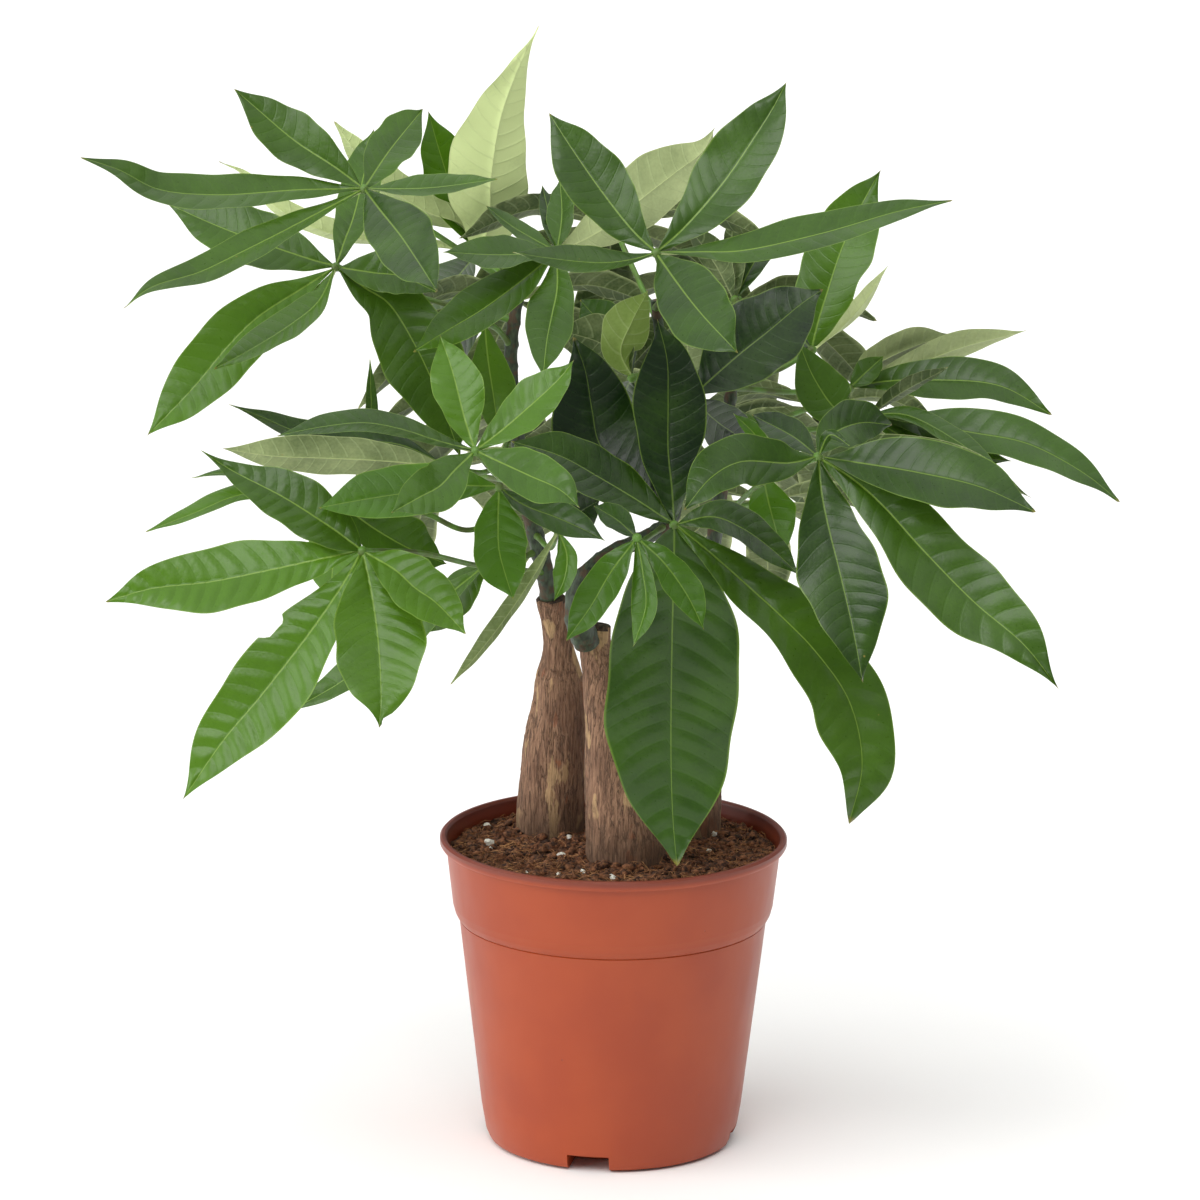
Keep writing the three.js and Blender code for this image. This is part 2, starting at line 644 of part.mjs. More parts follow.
// Eases the depths of hubs, blades and stalks along the line of sight until none pass through another.
// Which of two lies in front stays as it was laid out.
function makeRoom(strips) {
  const cells = new Map();
  strips.forEach((strip, index) => {
    for (const { u, v, depth, share } of strip.samples()) {
      const key = Math.floor(u / CELL) * CELL_ROW + Math.floor(v / CELL);
      if (!cells.has(key)) cells.set(key, new Map());
      const cell = cells.get(key);
      const entry = cell.get(index) ?? { low: Infinity, high: -Infinity, share: 0, count: 0 };
      entry.low = Math.min(entry.low, depth);
      entry.high = Math.max(entry.high, depth);
      entry.share += share;
      entry.count += 1;
      cell.set(index, entry);
    }
  });
  const order = new Map();
  const limits = [];
  for (const cell of cells.values()) {
    const found = [...cell];
    found.forEach(([indexA, a], i) =>
      found.slice(i + 1).forEach(([indexB, b]) => {
        const [stripA, stripB] = [strips[indexA], strips[indexB]];
        const [shareA, shareB] = [a.share / a.count, b.share / b.count];
        if (meet(stripA, shareA, stripB, shareB)) return;
        const apart = (a.low + a.high - b.low - b.high) / 2;
        const pair = indexA * PAIR_ROW + indexB;
        order.set(pair, (order.get(pair) ?? 0) + apart);
        const own = stripA.frond && stripA.frond === stripB.frond;
        const room = (own ? ROOM_IN_FROND : ROOM) + (a.high - a.low + b.high - b.low) / 2;
        limits.push({ stripA, stripB, shareA, shareB, apart, room, pair });
      }),
    );
  }
  for (let sweep = 0; sweep < SWEEPS; sweep++)
    for (const { stripA, stripB, shareA, shareB, apart, room, pair } of limits) {
      const sign = order.get(pair) < 0 ? -1 : 1;
      const lack = room - sign * (apart + stripA.moved(shareA) - stripB.moved(shareB));
      if (lack <= 0) continue;
      const [hubA, bellyA, liftA] = stripA.weights(shareA);
      const [hubB, bellyB, liftB] = stripB.weights(shareB);
      const total = HUB_EASE * (hubA * hubA + hubB * hubB) +
        bellyA * bellyA + liftA * liftA + bellyB * bellyB + liftB * liftB;
      if (total < 1e-3) continue;
      const push = (0.5 * sign * lack) / total;
      if (stripA.frond) {
        stripA.frond.shift += push * HUB_EASE * hubA;
        stripA.belly += push * bellyA;
        stripA.lift += push * liftA;
      }
      if (stripB.frond) {
        stripB.frond.shift -= push * HUB_EASE * hubB;
        stripB.belly -= push * bellyB;
        stripB.lift -= push * liftB;
      }
    }
}

// The leaflets of a frond that the sighting doesn't reach, fanned round the way that it faces
function fannedLeaflets({ hub, facing, long }) {
  const centre = sight(hub);
  const compass = THREE.MathUtils.degToRad(facing);
  const tilt = THREE.MathUtils.degToRad(BACK_TILT);
  const out = new THREE.Vector3(Math.cos(compass), Math.sin(compass), 0);
  const normal = out.clone().multiplyScalar(Math.cos(tilt)).setZ(Math.sin(tilt));
  const down = out.clone().multiplyScalar(Math.sin(tilt)).setZ(-Math.cos(tilt));
  const sideways = normal.clone().cross(down);
  return BACK_SPREAD.map((angle) => {
    const turn = THREE.MathUtils.degToRad(angle);
    const length = long * (1 - BACK_SHORTER * Math.abs(angle));
    const way = down.clone().multiplyScalar(Math.cos(turn)).addScaledVector(sideways, Math.sin(turn));
    const tip = centre.clone().addScaledVector(way, length).add(new THREE.Vector3(0, 0, -BACK_DROOP * length));
    const rib = centre.clone().lerp(tip, 0.5).addScaledVector(normal, BACK_ARCH * length)
      .add(new THREE.Vector3(0, 0, 0.25 * BACK_DROOP * length));
    return {
      tip: project(tip), deeper: tip.y - centre.y, seen: length * BACK_SLENDER, turn: 0,
      rib: [project(rib)], under: false, normal,
    };
  });
}

const trunkSolids = {};
const shootSolids = {};
const shootSeats = {};
const shoots = {};

// A trunk's axis from the bottom of its hole in the soil to its cut top
function trunkPlaces({ foot: [x, y], axis, footRadius }) {
  const places = [SOIL_TOP - TRUNK_DEPTH, SOIL_TOP + TRUNK_COLLAR].map((z) => new THREE.Vector3(x, y, z));
  const radii = [footRadius, footRadius];
  for (const [u, v, depth, radius] of axis) {
    places.push(sight([u, v, depth]));
    radii.push(radius);
  }
  return { places, radii };
}

for (const [name, trunk] of Object.entries(TRUNKS)) {
  const { places, radii } = trunkPlaces(trunk);
  trunkSolids[name] = { solid: stem(places, radii, TRUNK_SIDES), seat: stem(places, radii, TRUNK_SIDES, SEAT) };
}

for (const [name, places] of Object.entries(SHOOTS)) {
  shoots[name] = new Fixed(name, places);
  const at = places.map(sight);
  const radii = places.map((place) => place[3]);
  shootSeats[name] = stem(at, radii, SHOOT_SIDES, SEAT);
  shootSolids[name] = largest(stem(at, radii, SHOOT_SIDES).subtract(trunkSolids[name].seat));
}

const fronds = Object.entries({ ...FRONDS, ...BACK_FRONDS }).map(([name, plan]) => {
  const frond = { name, hub: plan.hub, shoot: plan.shoot, shift: 0 };
  const start = shoots[plan.shoot].line.getPointAt(plan.at).toArray();
  frond.stalk = new Stalk(frond, start, plan.via ?? []);
  const leaflets = plan.leaflets ?? fannedLeaflets(plan);
  frond.leaflets = leaflets.map((leaflet, index) => new Leaflet(frond, index, leaflet));
  return frond;
});
const trunkStrips = Object.values(TRUNKS).map(({ axis }) => new Fixed("trunk", axis));
makeRoom([
  ...fronds.flatMap((frond) => [frond.stalk, ...frond.leaflets]),
  ...Object.values(shoots),
  ...trunkStrips,
]);

// A frond in one piece: leaflets, the knob that they meet in, and the stalk, seated on its shoot
function frondSolid(frond) {
  const knob = new THREE.IcosahedronGeometry(KNOB_RADIUS, 0);
  const centre = sight([frond.hub[0], frond.hub[1], frond.hub[2] + frond.shift]);
  knob.translate(centre.x, centre.y, centre.z);
  let solid = solidOfGeometry(knob).add(frond.stalk.solid());
  for (const leaflet of frond.leaflets) solid = solid.add(leaflet.solid());
  return largest(solid.subtract(shootSeats[frond.shoot]).simplify(SHORT_EDGE));
}

function box(width, depth, height, x, y, z, turn) {
  const geometry = new THREE.BoxGeometry(width, depth, height);
  geometry.translate(x, y, z + height / 2);
  geometry.rotateZ(THREE.MathUtils.degToRad(turn));
  return solidOfGeometry(geometry);
}

function lathe(profile, segments) {
  const geometry = new THREE.LatheGeometry(profile.map(([r, z]) => new THREE.Vector2(r, z)), segments);
  return solidOfGeometry(geometry.rotateX(Math.PI / 2));
}

const channelTurns = Array.from({ length: CHANNEL.count }, (_, i) => CHANNEL.first + (360 / CHANNEL.count) * i);

// A drain channel's outside, as wide and high as its roof and cheeks, or its own hollow
function channelBox(turn, extra, reach) {
  const start = CHANNEL.inner - extra;
  return box(reach - start, CHANNEL.width + 2 * extra, CHANNEL.height + extra, (reach + start) / 2, 0, 0, turn);
}

function potSolid() {
  let pot = lathe([...POT_OUTSIDE, ...POT_INSIDE, POT_OUTSIDE[0]], POT_SEGMENTS);
  const envelope = lathe([...POT_OUTSIDE, [0, POT_HEIGHT]], POT_SEGMENTS);
  for (const turn of channelTurns) {
    pot = pot.add(channelBox(turn, CHANNEL.roof, CHANNEL.outer).intersect(envelope));
    const hollow = channelBox(turn, 0, CHANNEL.outer).translate([0, 0, -SEAT]);
    const hole = new THREE.CylinderGeometry(DRAIN.radius, DRAIN.radius, DRAIN.length, DRAIN.sides);
    hole.rotateX(Math.PI / 2).translate(DRAIN.from, 0, CHANNEL.height);
    hole.rotateZ(THREE.MathUtils.degToRad(turn));
    pot = pot.subtract(hollow).subtract(solidOfGeometry(hole));
  }
  return pot;
}

// Soil with a gently uneven top, plain holes for the trunks and room for the pot's channels
function soilSolid() {
  const inner = POT_INSIDE.filter(([, z]) => z < SOIL_TOP).reverse();
  const slack = inner.map(([r, z]) => [Math.max(r - SEAT, 0), z === POT_FLOOR ? z + SEAT : z]);
  const crown = SOIL_CROWN.map((share) => [SOIL_RADIUS * share, SOIL_TOP]);
  const geometry = new THREE.LatheGeometry(
    [...slack, [SOIL_RADIUS, SOIL_TOP - SOIL_EDGE_DROP], ...crown].map(([r, z]) => new THREE.Vector2(r, z)),
    SOIL_SEGMENTS,
  ).rotateX(Math.PI / 2);
  const at = geometry.attributes.position;
  for (let i = 0; i < at.count; i++) {
    const [x, y, z] = [at.getX(i), at.getY(i), at.getZ(i)];
    const loose = Math.max(0, 1 - Math.pow(Math.hypot(x, y) / SOIL_RADIUS, 4));
    if (z > SOIL_TOP - SEAT) at.setZ(i, z + loose * soilSwell(x, y));
  }
  let soil = solidOfGeometry(geometry);
  for (const { seat } of Object.values(trunkSolids)) soil = soil.subtract(seat);
  for (const turn of channelTurns) soil = soil.subtract(channelBox(turn, CHANNEL.roof + SEAT, CHANNEL.outer));
  return soil;
}

const finish = (color, roughness) => new THREE.MeshStandardMaterial({ color, roughness, metalness: 0 });
const POT_PLASTIC = finish(0xb5583a, 0.5);
const SOIL_PEAT = finish(0x3b261b, 0.95);
const BARK = finish(0x83674c, 0.85);
const SHOOT_GREEN = finish(0x4a6a45, 0.7);
const LEAF_GREEN = finish(0x35682b, 0.4);
const YOUNG_GREEN = finish(0x5a8f2a, 0.4);
const YOUNG_FRONDS = ["n", "p", "x"];

const group = new THREE.Group();

function place(name, solid, material) {
  const mesh = new THREE.Mesh(geometryOfSolid(solid), material);
  mesh.name = name;
  group.add(mesh);
}

place("pot", potSolid(), POT_PLASTIC);
place("soil", soilSolid(), SOIL_PEAT);
for (const [name, { solid }] of Object.entries(trunkSolids)) place(`trunk_${name}`, solid, BARK);
for (const [name, solid] of Object.entries(shootSolids)) place(`shoot_${name}`, solid, SHOOT_GREEN);
for (const frond of fronds) {
  const young = YOUNG_FRONDS.includes(frond.name);
  place(`frond_${frond.name}`, frondSolid(frond), young ? YOUNG_GREEN : LEAF_GREEN);
}

export default group;
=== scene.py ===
"""A potted money tree: cut trunks, green shoots and hand-shaped leaves, rooted in a plastic nursery pot.

Lengths are in millimetres until a piece is finished, which makes them metres. Places on the plant are sighted
from one viewpoint: u to the right and v down in a square view of 1200 units, and the real depth along +Y.
"""

import logging
import math
import random
from collections.abc import Callable
from dataclasses import dataclass, field, replace
from enum import Enum

import bmesh
import bpy
import numpy as np
from bmesh.types import BMesh
from bpy.types import ID, Material, Node, NodeSocket, NodeTree, Object
from mathutils import Matrix, Vector, noise
from numpy import ndarray


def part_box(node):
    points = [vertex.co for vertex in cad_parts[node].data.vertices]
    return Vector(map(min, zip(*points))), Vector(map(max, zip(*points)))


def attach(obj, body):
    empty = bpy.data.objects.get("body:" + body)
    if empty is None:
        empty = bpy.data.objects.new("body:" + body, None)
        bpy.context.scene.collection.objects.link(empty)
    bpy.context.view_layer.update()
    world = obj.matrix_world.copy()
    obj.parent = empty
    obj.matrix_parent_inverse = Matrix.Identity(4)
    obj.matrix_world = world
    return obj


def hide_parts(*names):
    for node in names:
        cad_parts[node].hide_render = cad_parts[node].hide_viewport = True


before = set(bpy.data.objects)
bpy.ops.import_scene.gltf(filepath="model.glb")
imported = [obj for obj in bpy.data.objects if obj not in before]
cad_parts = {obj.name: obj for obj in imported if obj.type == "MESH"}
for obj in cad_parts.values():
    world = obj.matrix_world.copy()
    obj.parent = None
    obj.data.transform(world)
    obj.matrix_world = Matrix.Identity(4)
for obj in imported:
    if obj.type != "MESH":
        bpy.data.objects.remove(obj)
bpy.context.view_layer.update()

log = logging.getLogger("money_tree")

Pair = tuple[float, float]
Triple = tuple[float, float, float]

MM = 0.001
BODY = "root"

# The soil's mean height, and how near points are that are made one, in millimetres
SOIL_TOP = 145.0
TOUCHING = 1e-4


class Stem(Enum):
    """Which of the three stems something grows on."""

    LEFT = "left"
    MIDDLE = "middle"
    RIGHT = "right"


LEFT, MIDDLE, RIGHT = Stem


class Face(Enum):
    """Which face of a leaflet the viewpoint sees."""

    TOP = "top"
    UNDERSIDE = "underside"


@dataclass(frozen=True)
class LeafletPlan:
    """Where one leaflet lies.

    Args:
        tip: sighted place of its tip, without the depth.
        deeper: how much deeper than the hub the tip lies, in millimetres.
        seen: the blade's width as it is seen, in millimetres.
        turn: the blade's turn about its midrib, in degrees.
        rib: sighted places that the midrib passes.
        face: the face that the viewpoint sees.
        normal: the way that the top faces, for a leaflet that is fanned out and not sighted.
        broadest: the share of the length at which it is broadest.
        ends: the sum of the outline's two powers: the less, the blunter.
    """

    tip: Pair
    deeper: float
    seen: float
    turn: float
    rib: tuple[Pair, ...]
    face: Face = Face.TOP
    normal: Vector | None = None
    broadest: float = 0.53
    ends: float = 2.25


def top(tip: tuple, deeper: float, seen: float, turn: float, *rib: tuple) -> LeafletPlan:
    """Returns the plan of a leaflet that shows its upper side."""
    return LeafletPlan(tip, deeper, seen, turn, rib)


def underside(tip: tuple, deeper: float, seen: float, turn: float, *rib: tuple) -> LeafletPlan:
    """Returns the plan of a leaflet that shows its underside."""
    return LeafletPlan(tip, deeper, seen, turn, rib, Face.UNDERSIDE)


def broad_at(share: float, plan: LeafletPlan) -> LeafletPlan:
    """Returns the plan with the blade broadest at a share of its length."""
    return replace(plan, broadest=share)


def blunt(ends: float, plan: LeafletPlan) -> LeafletPlan:
    """Returns the plan with other ends: the less, the blunter."""
    return replace(plan, ends=ends)


@dataclass(frozen=True)
class FrondPlan:
    """Where one hand-shaped leaf lies.

    Args:
        hub: sighted place where its leaflets meet.
        stem: the stem that it grows on.
        at: the share of the shoot's length that its stalk leaves at.
        via: sighted places that the stalk passes.
        leaflets: the plans of its leaflets.
    """

    hub: Triple
    stem: Stem
    at: float
    via: tuple[Triple, ...]
    leaflets: tuple[LeafletPlan, ...]


@dataclass(frozen=True)
class BackPlan:
    """Where one hand-shaped leaf of the far side lies, and how its leaflets fan out.

    Args:
        hub: sighted place where its leaflets meet.
        stem: the stem that it grows on.
        at: the share of the shoot's length that its stalk leaves at.
        facing: compass direction that it faces, in degrees.
        long: the longest leaflet's length in millimetres.
    """

    hub: Triple
    stem: Stem
    at: float
    facing: float
    long: float


# Trunks: the place of the foot, sighted places of the axis with the radius there, and the foot's radius
TRUNKS = {
    LEFT: ((-31, 35), (
        (552, 790, 34, 16.4), (555, 745, 33, 15.8), (560, 705, 31, 13.8), (559, 678, 29, 11.4),
        (558, 650, 27, 7.6), (554, 622, 25, 6.8), (551, 598, 23, 7.4),
    ), 17),
    MIDDLE: ((6, -16), (
        (622, 800, -15, 18), (617, 755, -14, 16), (611, 710, -13, 13.2), (603, 675, -12, 10.4),
        (595, 648, -11, 8), (597, 625, -10, 7),
    ), 19.6),
    RIGHT: ((38, 33), (
        (692, 790, 33, 14.6), (695, 745, 31, 13), (698, 700, 29, 10), (700, 665, 27, 7.4),
        (701, 640, 25, 6.6),
    ), 15.4),
}

# Green shoots: sighted places of the axis with the radius there
SHOOTS = {
    LEFT: ((551, 604, 23, 4.6), (545, 572, 18, 4.4), (532, 520, 12, 4), (521, 460, 8, 3.6),
                (513, 400, 5, 3.4), (511, 350, 2, 3.2), (516, 310, 0, 2.8), (522, 282, 0, 2.2)),
    MIDDLE: ((587, 643, -17, 6.4), (579, 620, -24, 6.6), (580, 585, -24, 5), (608, 556, -18, 4.2),
                  (645, 538, -8, 3.8), (670, 520, 0, 3.6), (678, 480, 6, 3.2), (672, 420, 8, 3),
                  (662, 350, 8, 2.6), (655, 300, 6, 2.2)),
    RIGHT: ((701, 645, 25, 4.4), (706, 600, 24, 4.2), (714, 540, 22, 3.8), (722, 480, 20, 3.4),
                 (728, 415, 18, 3), (738, 352, 15, 2.4)),
}

# The hand-shaped leaves that are sighted, by the letter of their node
FRONDS = {
    "a": FrondPlan((364, 189, -40), LEFT, 0.97, ((445, 240, -25),), (
        top((234, 89), 15, 24, 20, (336, 168), (295, 141), (256, 108)),
        top((80, 157), -25, 17, 50, (300, 190), (215, 195), (157, 189), (119, 170)),
        top((123, 309), -70, 14, 50, (320, 212), (280, 233), (240, 253), (200, 272), (150, 288)),
        top((437, 291), -95, 30, 10, (380, 210), (400, 235), (415, 257)),
        top((498, 179), -20, 10, 62, (430, 188)),
        top((423, 109), 50, 22, 35, (375, 172), (390, 150)),
    )),
    "b": FrondPlan((336, 267, 5), LEFT, 0.88, ((430, 300, 5),), (
        top((168, 204), 20, 29, 30, (300, 256), (240, 235), (210, 223)),
        broad_at(0.57, top((147, 436), -50, 30, 15, (301, 289), (258, 317), (229, 345), (193, 388))),
        top((214, 369), -70, 15, 55, (318, 302), (290, 325), (250, 350)),
        top((437, 292), -20, 20, 30, (375, 273), (400, 276)),
        top((374, 129), 55, 20, 30, (345, 240), (352, 222), (358, 200)),
        top((461, 458), -35, 38, 15, (365, 288), (388, 303), (415, 345), (438, 395)),
    )),
    "c": FrondPlan((478, 252, 70), LEFT, 0.99, ((503, 275, 40),), (
        broad_at(0.3, underside((539, 25), -30, 38, 25, (488, 225), (490, 180), (500, 118), (518, 68))),
        top((428, 111), 10, 25, 30, (466, 228), (455, 200), (439, 150)),
        underside((334, 121), -10, 17, 50, (465, 225), (430, 212), (405, 198), (375, 175)),
        underside((218, 161), 0, 10, 60, (440, 245), (380, 240), (327, 231), (275, 205), (243, 173)),
        top((400, 330), 80, 30, 30, (450, 285)),
    )),
    "d": FrondPlan((557, 252, -60), LEFT, 0.94, ((536, 275, -35),), (
        top((442, 252), -30, 15, 55, (500, 255)),
        top((486, 206), 15, 8, 58, (535, 240), (510, 225)),
        top((560, 179), 30, 13, 40, (562, 215)),
        top((542, 185), 40, 9, 30, (549, 215)),
        top((413, 352), -45, 22, 45, (520, 282), (480, 311), (450, 329)),
        top((543, 378), -60, 22, 25, (557, 290), (552, 315), (547, 340)),
        underside((715, 127), 60, 29, 30, (600, 230), (645, 195), (675, 172), (703, 150)),
    )),
    "e": FrondPlan((735, 300, 60), RIGHT, 0.97, ((738, 325, 35),), (
        top((783, 219), 25, 14, 40, (750, 270), (765, 245)),
        underside((733, 212), 10, 12, 40, (733, 260)),
        underside((686, 222), 20, 14, 45, (715, 262)),
        top((672, 334), 45, 26, 20, (702, 318)),
    )),
    "f": FrondPlan((656, 253, -110), MIDDLE, 0.98, ((665, 285, -50),), (
        top((549, 113), 30, 29, 15, (633, 231), (602, 192), (568, 143)),
        top((512, 252), -35, 12, 60, (630, 260), (600, 263), (540, 257)),
        top((787, 81), 40, 30, 15, (683, 229), (723, 183), (754, 138), (773, 108)),
        top((953, 200), -10, 16.5, 50, (700, 252), (740, 251), (820, 234), (900, 211)),
        top((738, 353), -75, 32, 10, (675, 280), (690, 300), (705, 318)),
    )),
    "g": FrondPlan((475, 451, -165), LEFT, 0.5, ((503, 478, -80),), (
        top((440, 335), 30, 23, 15, (465, 420), (452, 370)),
        top((574, 360), 25, 20, 30, (500, 432), (520, 415), (560, 378)),
        top((276, 436), -15, 11, 60, (438, 441), (400, 429), (365, 423), (322, 427)),
        top((391, 513), -50, 22, 25, (455, 470), (440, 486), (420, 497)),
        top((580, 508), -35, 22, 30, (495, 460), (530, 476), (560, 490)),
    )),
    "h": FrondPlan((812, 350, 40), RIGHT, 0.93, ((772, 372, 28),), (
        broad_at(0.48, top((881, 170), 20, 33, 20, (816, 330), (828, 290), (842, 248), (862, 204))),
        underside((888, 265), 30, 7, 55, (842, 325), (864, 301)),
        top((770, 300), 60, 25, 20, (790, 325)),
    )),
    "j": FrondPlan((674, 525, -70), MIDDLE, 0.56, ((672, 522, -35),), (
        top((657, 318), 30, 34, 15, (672, 490), (668, 450), (668, 400), (667, 360)),
        top((573, 337), 40, 42, 20, (645, 495), (600, 445), (592, 410), (585, 370)),
        top((511, 441), -10, 24, 40, (640, 502), (600, 478), (560, 456)),
        top((798, 574), -30, 17, 45, (713, 517), (745, 530), (775, 552)),
        blunt(1.5, broad_at(0.62, top((849, 824), -60, 34, 25, (703, 547), (750, 588), (785, 620), (815, 651),
          (849, 701), (862, 764)))),
        blunt(1.6, broad_at(0.47, top((677, 866), -15, 64, 8,
                                      (674, 560), (672, 640), (671, 760), (673, 820)))),
    )),
    "k": FrondPlan((632, 378, -10), MIDDLE, 0.82, ((650, 372, 0),), (
        underside((648, 290), 0, 22, 25, (620, 352), (632, 320)),
        underside((560, 330), 10, 25, 30, (605, 345)),
        top((580, 300), 60, 26, 20, (610, 335)),
        top((600, 440), 60, 26, 20, (615, 410)),
    )),
    "l": FrondPlan((691, 398, -30), MIDDLE, 0.78, ((681, 403, -12),), (
        top((823, 289), 15, 39, 22, (708, 382), (740, 354), (770, 330), (800, 305)),
        underside((684, 320), 32, 22, 34, (690, 372), (688, 346)),
        top((752, 444), 46, 22, 25, (720, 424)),
    )),
    "m": FrondPlan((818, 457, -110), RIGHT, 0.4, ((755, 488, -40), (790, 470, -80),), (
        top((684, 510), -40, 25, 30, (790, 463), (740, 462), (712, 477)),
        top((1036, 512), -20, 30, 35, (860, 463), (920, 473), (980, 487)),
        broad_at(0.5, top((1059, 690), -45, 36, 20,
                          (855, 481), (883, 506), (922, 549), (974, 602), (1025, 646))),
        top((863, 683), -50, 37, 10, (822, 495), (828, 525), (838, 565), (853, 630)),
        top((892, 425), 45, 22, 30, (832, 435), (860, 423)),
        top((752, 415), 40, 15, 40, (795, 438)),
        top((850, 446), -15, 5, 30, (830, 435)),
    )),
    "n": FrondPlan((637, 538, -105), MIDDLE, 0.42, ((625, 552, -60),), (
        top((566, 641), -15, 18, 25, (611, 572), (591, 606)),
        top((633, 647), -20, 12, 35, (643, 572), (646, 605)),
        top((704, 630), -15, 16, 25, (663, 562), (687, 595)),
        top((594, 506), 20, 12, 40, (617, 520)),
    )),
    "p": FrondPlan((499, 487, -130), LEFT, 0.42, ((518, 508, -90),), (
        top((318, 508), -20, 25, 40, (460, 486), (400, 494), (350, 502)),
        top((513, 599), -10, 26, 15, (498, 520), (499, 550), (507, 580)),
        top((606, 541), -15, 15, 40, (512, 498), (528, 507), (555, 517), (580, 528)),
    )),
    "q": FrondPlan((558, 530, -60), LEFT, 0.22, ((550, 548, -20),), (
        top((554, 601), -10, 11, 30, (567, 555), (564, 580)),
        underside((450, 685), -30, 8, 50, (538, 566), (508, 612), (478, 652)),
        top((600, 500), 30, 18, 30, (580, 512)),
    )),
    "s": FrondPlan((362, 551, -150), LEFT, 0.1, ((480, 566, -40), (420, 553, -100),), (
        broad_at(0.37, top((200, 450), 15, 25, 25, (340, 534), (321, 521), (283, 497), (231, 470))),
        top((105, 602), -20, 30, 25, (330, 557), (270, 570), (210, 582), (150, 589)),
        top((182, 801), -45, 35, 15, (343, 584), (314, 627), (260, 697), (223, 741)),
        top((379, 728), -50, 42, 8, (370, 585), (378, 640), (381, 700)),
        top((466, 634), -35, 25, 25, (395, 570), (415, 588), (435, 602)),
    )),
    "t": FrondPlan((345, 508, -40), LEFT, 0.34, ((470, 530, -5), (420, 512, -20),), (
        top((145, 532), -10, 9, 60, (290, 492), (240, 495), (192, 514)),
        top((190, 478), 10, 5, 65, (280, 480), (225, 473)),
        top((330, 600), 30, 26, 20, (335, 550)),
        top((447, 564), 20, 27, 20, (378, 531), (412, 550)),
    )),
    "u": FrondPlan((490, 562, -10), LEFT, 0.17, ((515, 560, 5),), (
        top((286, 713), 10, 18, 35, (440, 602), (395, 642), (338, 684)),
        top((424, 634), 25, 20, 25, (470, 580), (450, 604)),
    )),
    "v": FrondPlan((450, 468, -70), LEFT, 0.56, ((490, 470, -30),), (
        underside((222, 448), -5, 19, 40, (420, 463), (370, 459), (320, 457), (270, 455)),
        top((228, 404), 10, 12, 50, (400, 445), (340, 440), (295, 431), (262, 417)),
        top((370, 358), 20, 7, 30, (400, 455), (373, 430), (371, 400)),
    )),
    "w": FrondPlan((484, 322, -25), LEFT, 0.8, ((498, 330, -10),), (
        top((500, 443), -25, 20, 20, (488, 360), (494, 400)),
        top((420, 380), 60, 26, 25, (450, 345)),
    )),
    "x": FrondPlan((762, 470, -30), RIGHT, 0.62, ((742, 470, -15),), (
        top((784, 556), -15, 22, 15, (768, 500), (776, 530)),
        top((733, 413), 0, 8, 40, (758, 440)),
        underside((1032, 498), 10, 20, 30, (860, 456), (930, 460), (985, 474)),
    )),
    "y": FrondPlan((850, 388, 60), RIGHT, 0.88, ((790, 392, 38),), (
        underside((950, 334), 10, 17, 45, (872, 366), (910, 347)),
        underside((1027, 330), -10, 13, 50, (900, 370), (960, 347)),
        top((1052, 415), -25, 21, 35, (880, 382), (925, 380), (1000, 386)),
        top((884, 356), -15, 12, 20, (862, 376)),
    )),
    "z": FrondPlan((868, 415, 15), RIGHT, 0.8, ((800, 430, 15),), (
        top((1120, 502), -30, 21, 40, (919, 424), (974, 433), (1028, 444), (1085, 474)),
        top((1004, 478), -35, 10, 58, (905, 415), (955, 440)),
        top((1013, 461), -15, 17, 35, (905, 438), (960, 455)),
        underside((948, 367), 10, 8, 55, (900, 392)),
        broad_at(0.5, top((799, 343), 5, 24, 20, (840, 412), (815, 380))),
    )),
}

# The hand-shaped leaves of the far side, by the number of their node
BACK_FRONDS = {
    1: BackPlan((515, 300, 90), LEFT, 0.84, 108, 96),
    2: BackPlan((612, 222, 80), MIDDLE, 0.94, 92, 104),
    3: BackPlan((738, 300, 106), RIGHT, 0.9, 82, 98),
    4: BackPlan((818, 405, 95), RIGHT, 0.7, 84, 86),
    5: BackPlan((540, 400, 130), LEFT, 0.6, 98, 116),
    6: BackPlan((690, 430, 135), MIDDLE, 0.7, 84, 116),
    7: BackPlan((440, 470, 95), LEFT, 0.38, 108, 76),
    8: BackPlan((765, 500, 90), RIGHT, 0.45, 86, 80),
}

# How light each leaf is, from 0, the darkest green, to 1, and how young, from 0 to 1 for a new one. The
# lightness is partly the leaf's own green, partly painted shade on leaves in the plant's shaded middle and
# painted sheen on some that catch the light
TONES_AND_PAINTED_LIGHT = {
    "a": (0.6, 0), "b": (0.6, 0), "c": (0.6, 0.1), "d": (0.5, 0.05), "e": (0.22, 0), "f": (0.46, 0),
    "g": (0.55, 0.1), "h": (0.8, 0), "j": (0.3, 0), "k": (0.1, 0.1), "l": (0.15, 0), "m": (0.34, 0),
    "n": (0.28, 0.3), "p": (0.32, 0.4), "q": (0.12, 0.1), "s": (0.95, 0.05), "t": (0.4, 0.1), "u": (0.7, 0),
    "v": (0.2, 0), "w": (0.2, 0), "x": (0.65, 0.4), "y": (0.5, 0), "z": (0.4, 0.1),
}
BACK_TONE = (0.5, 0)

# Painted shade: how light the far side's leaves are beneath, darkened where they show through gaps into the
# plant's shaded middle
BACK_UNDER_SHADE = 0.1
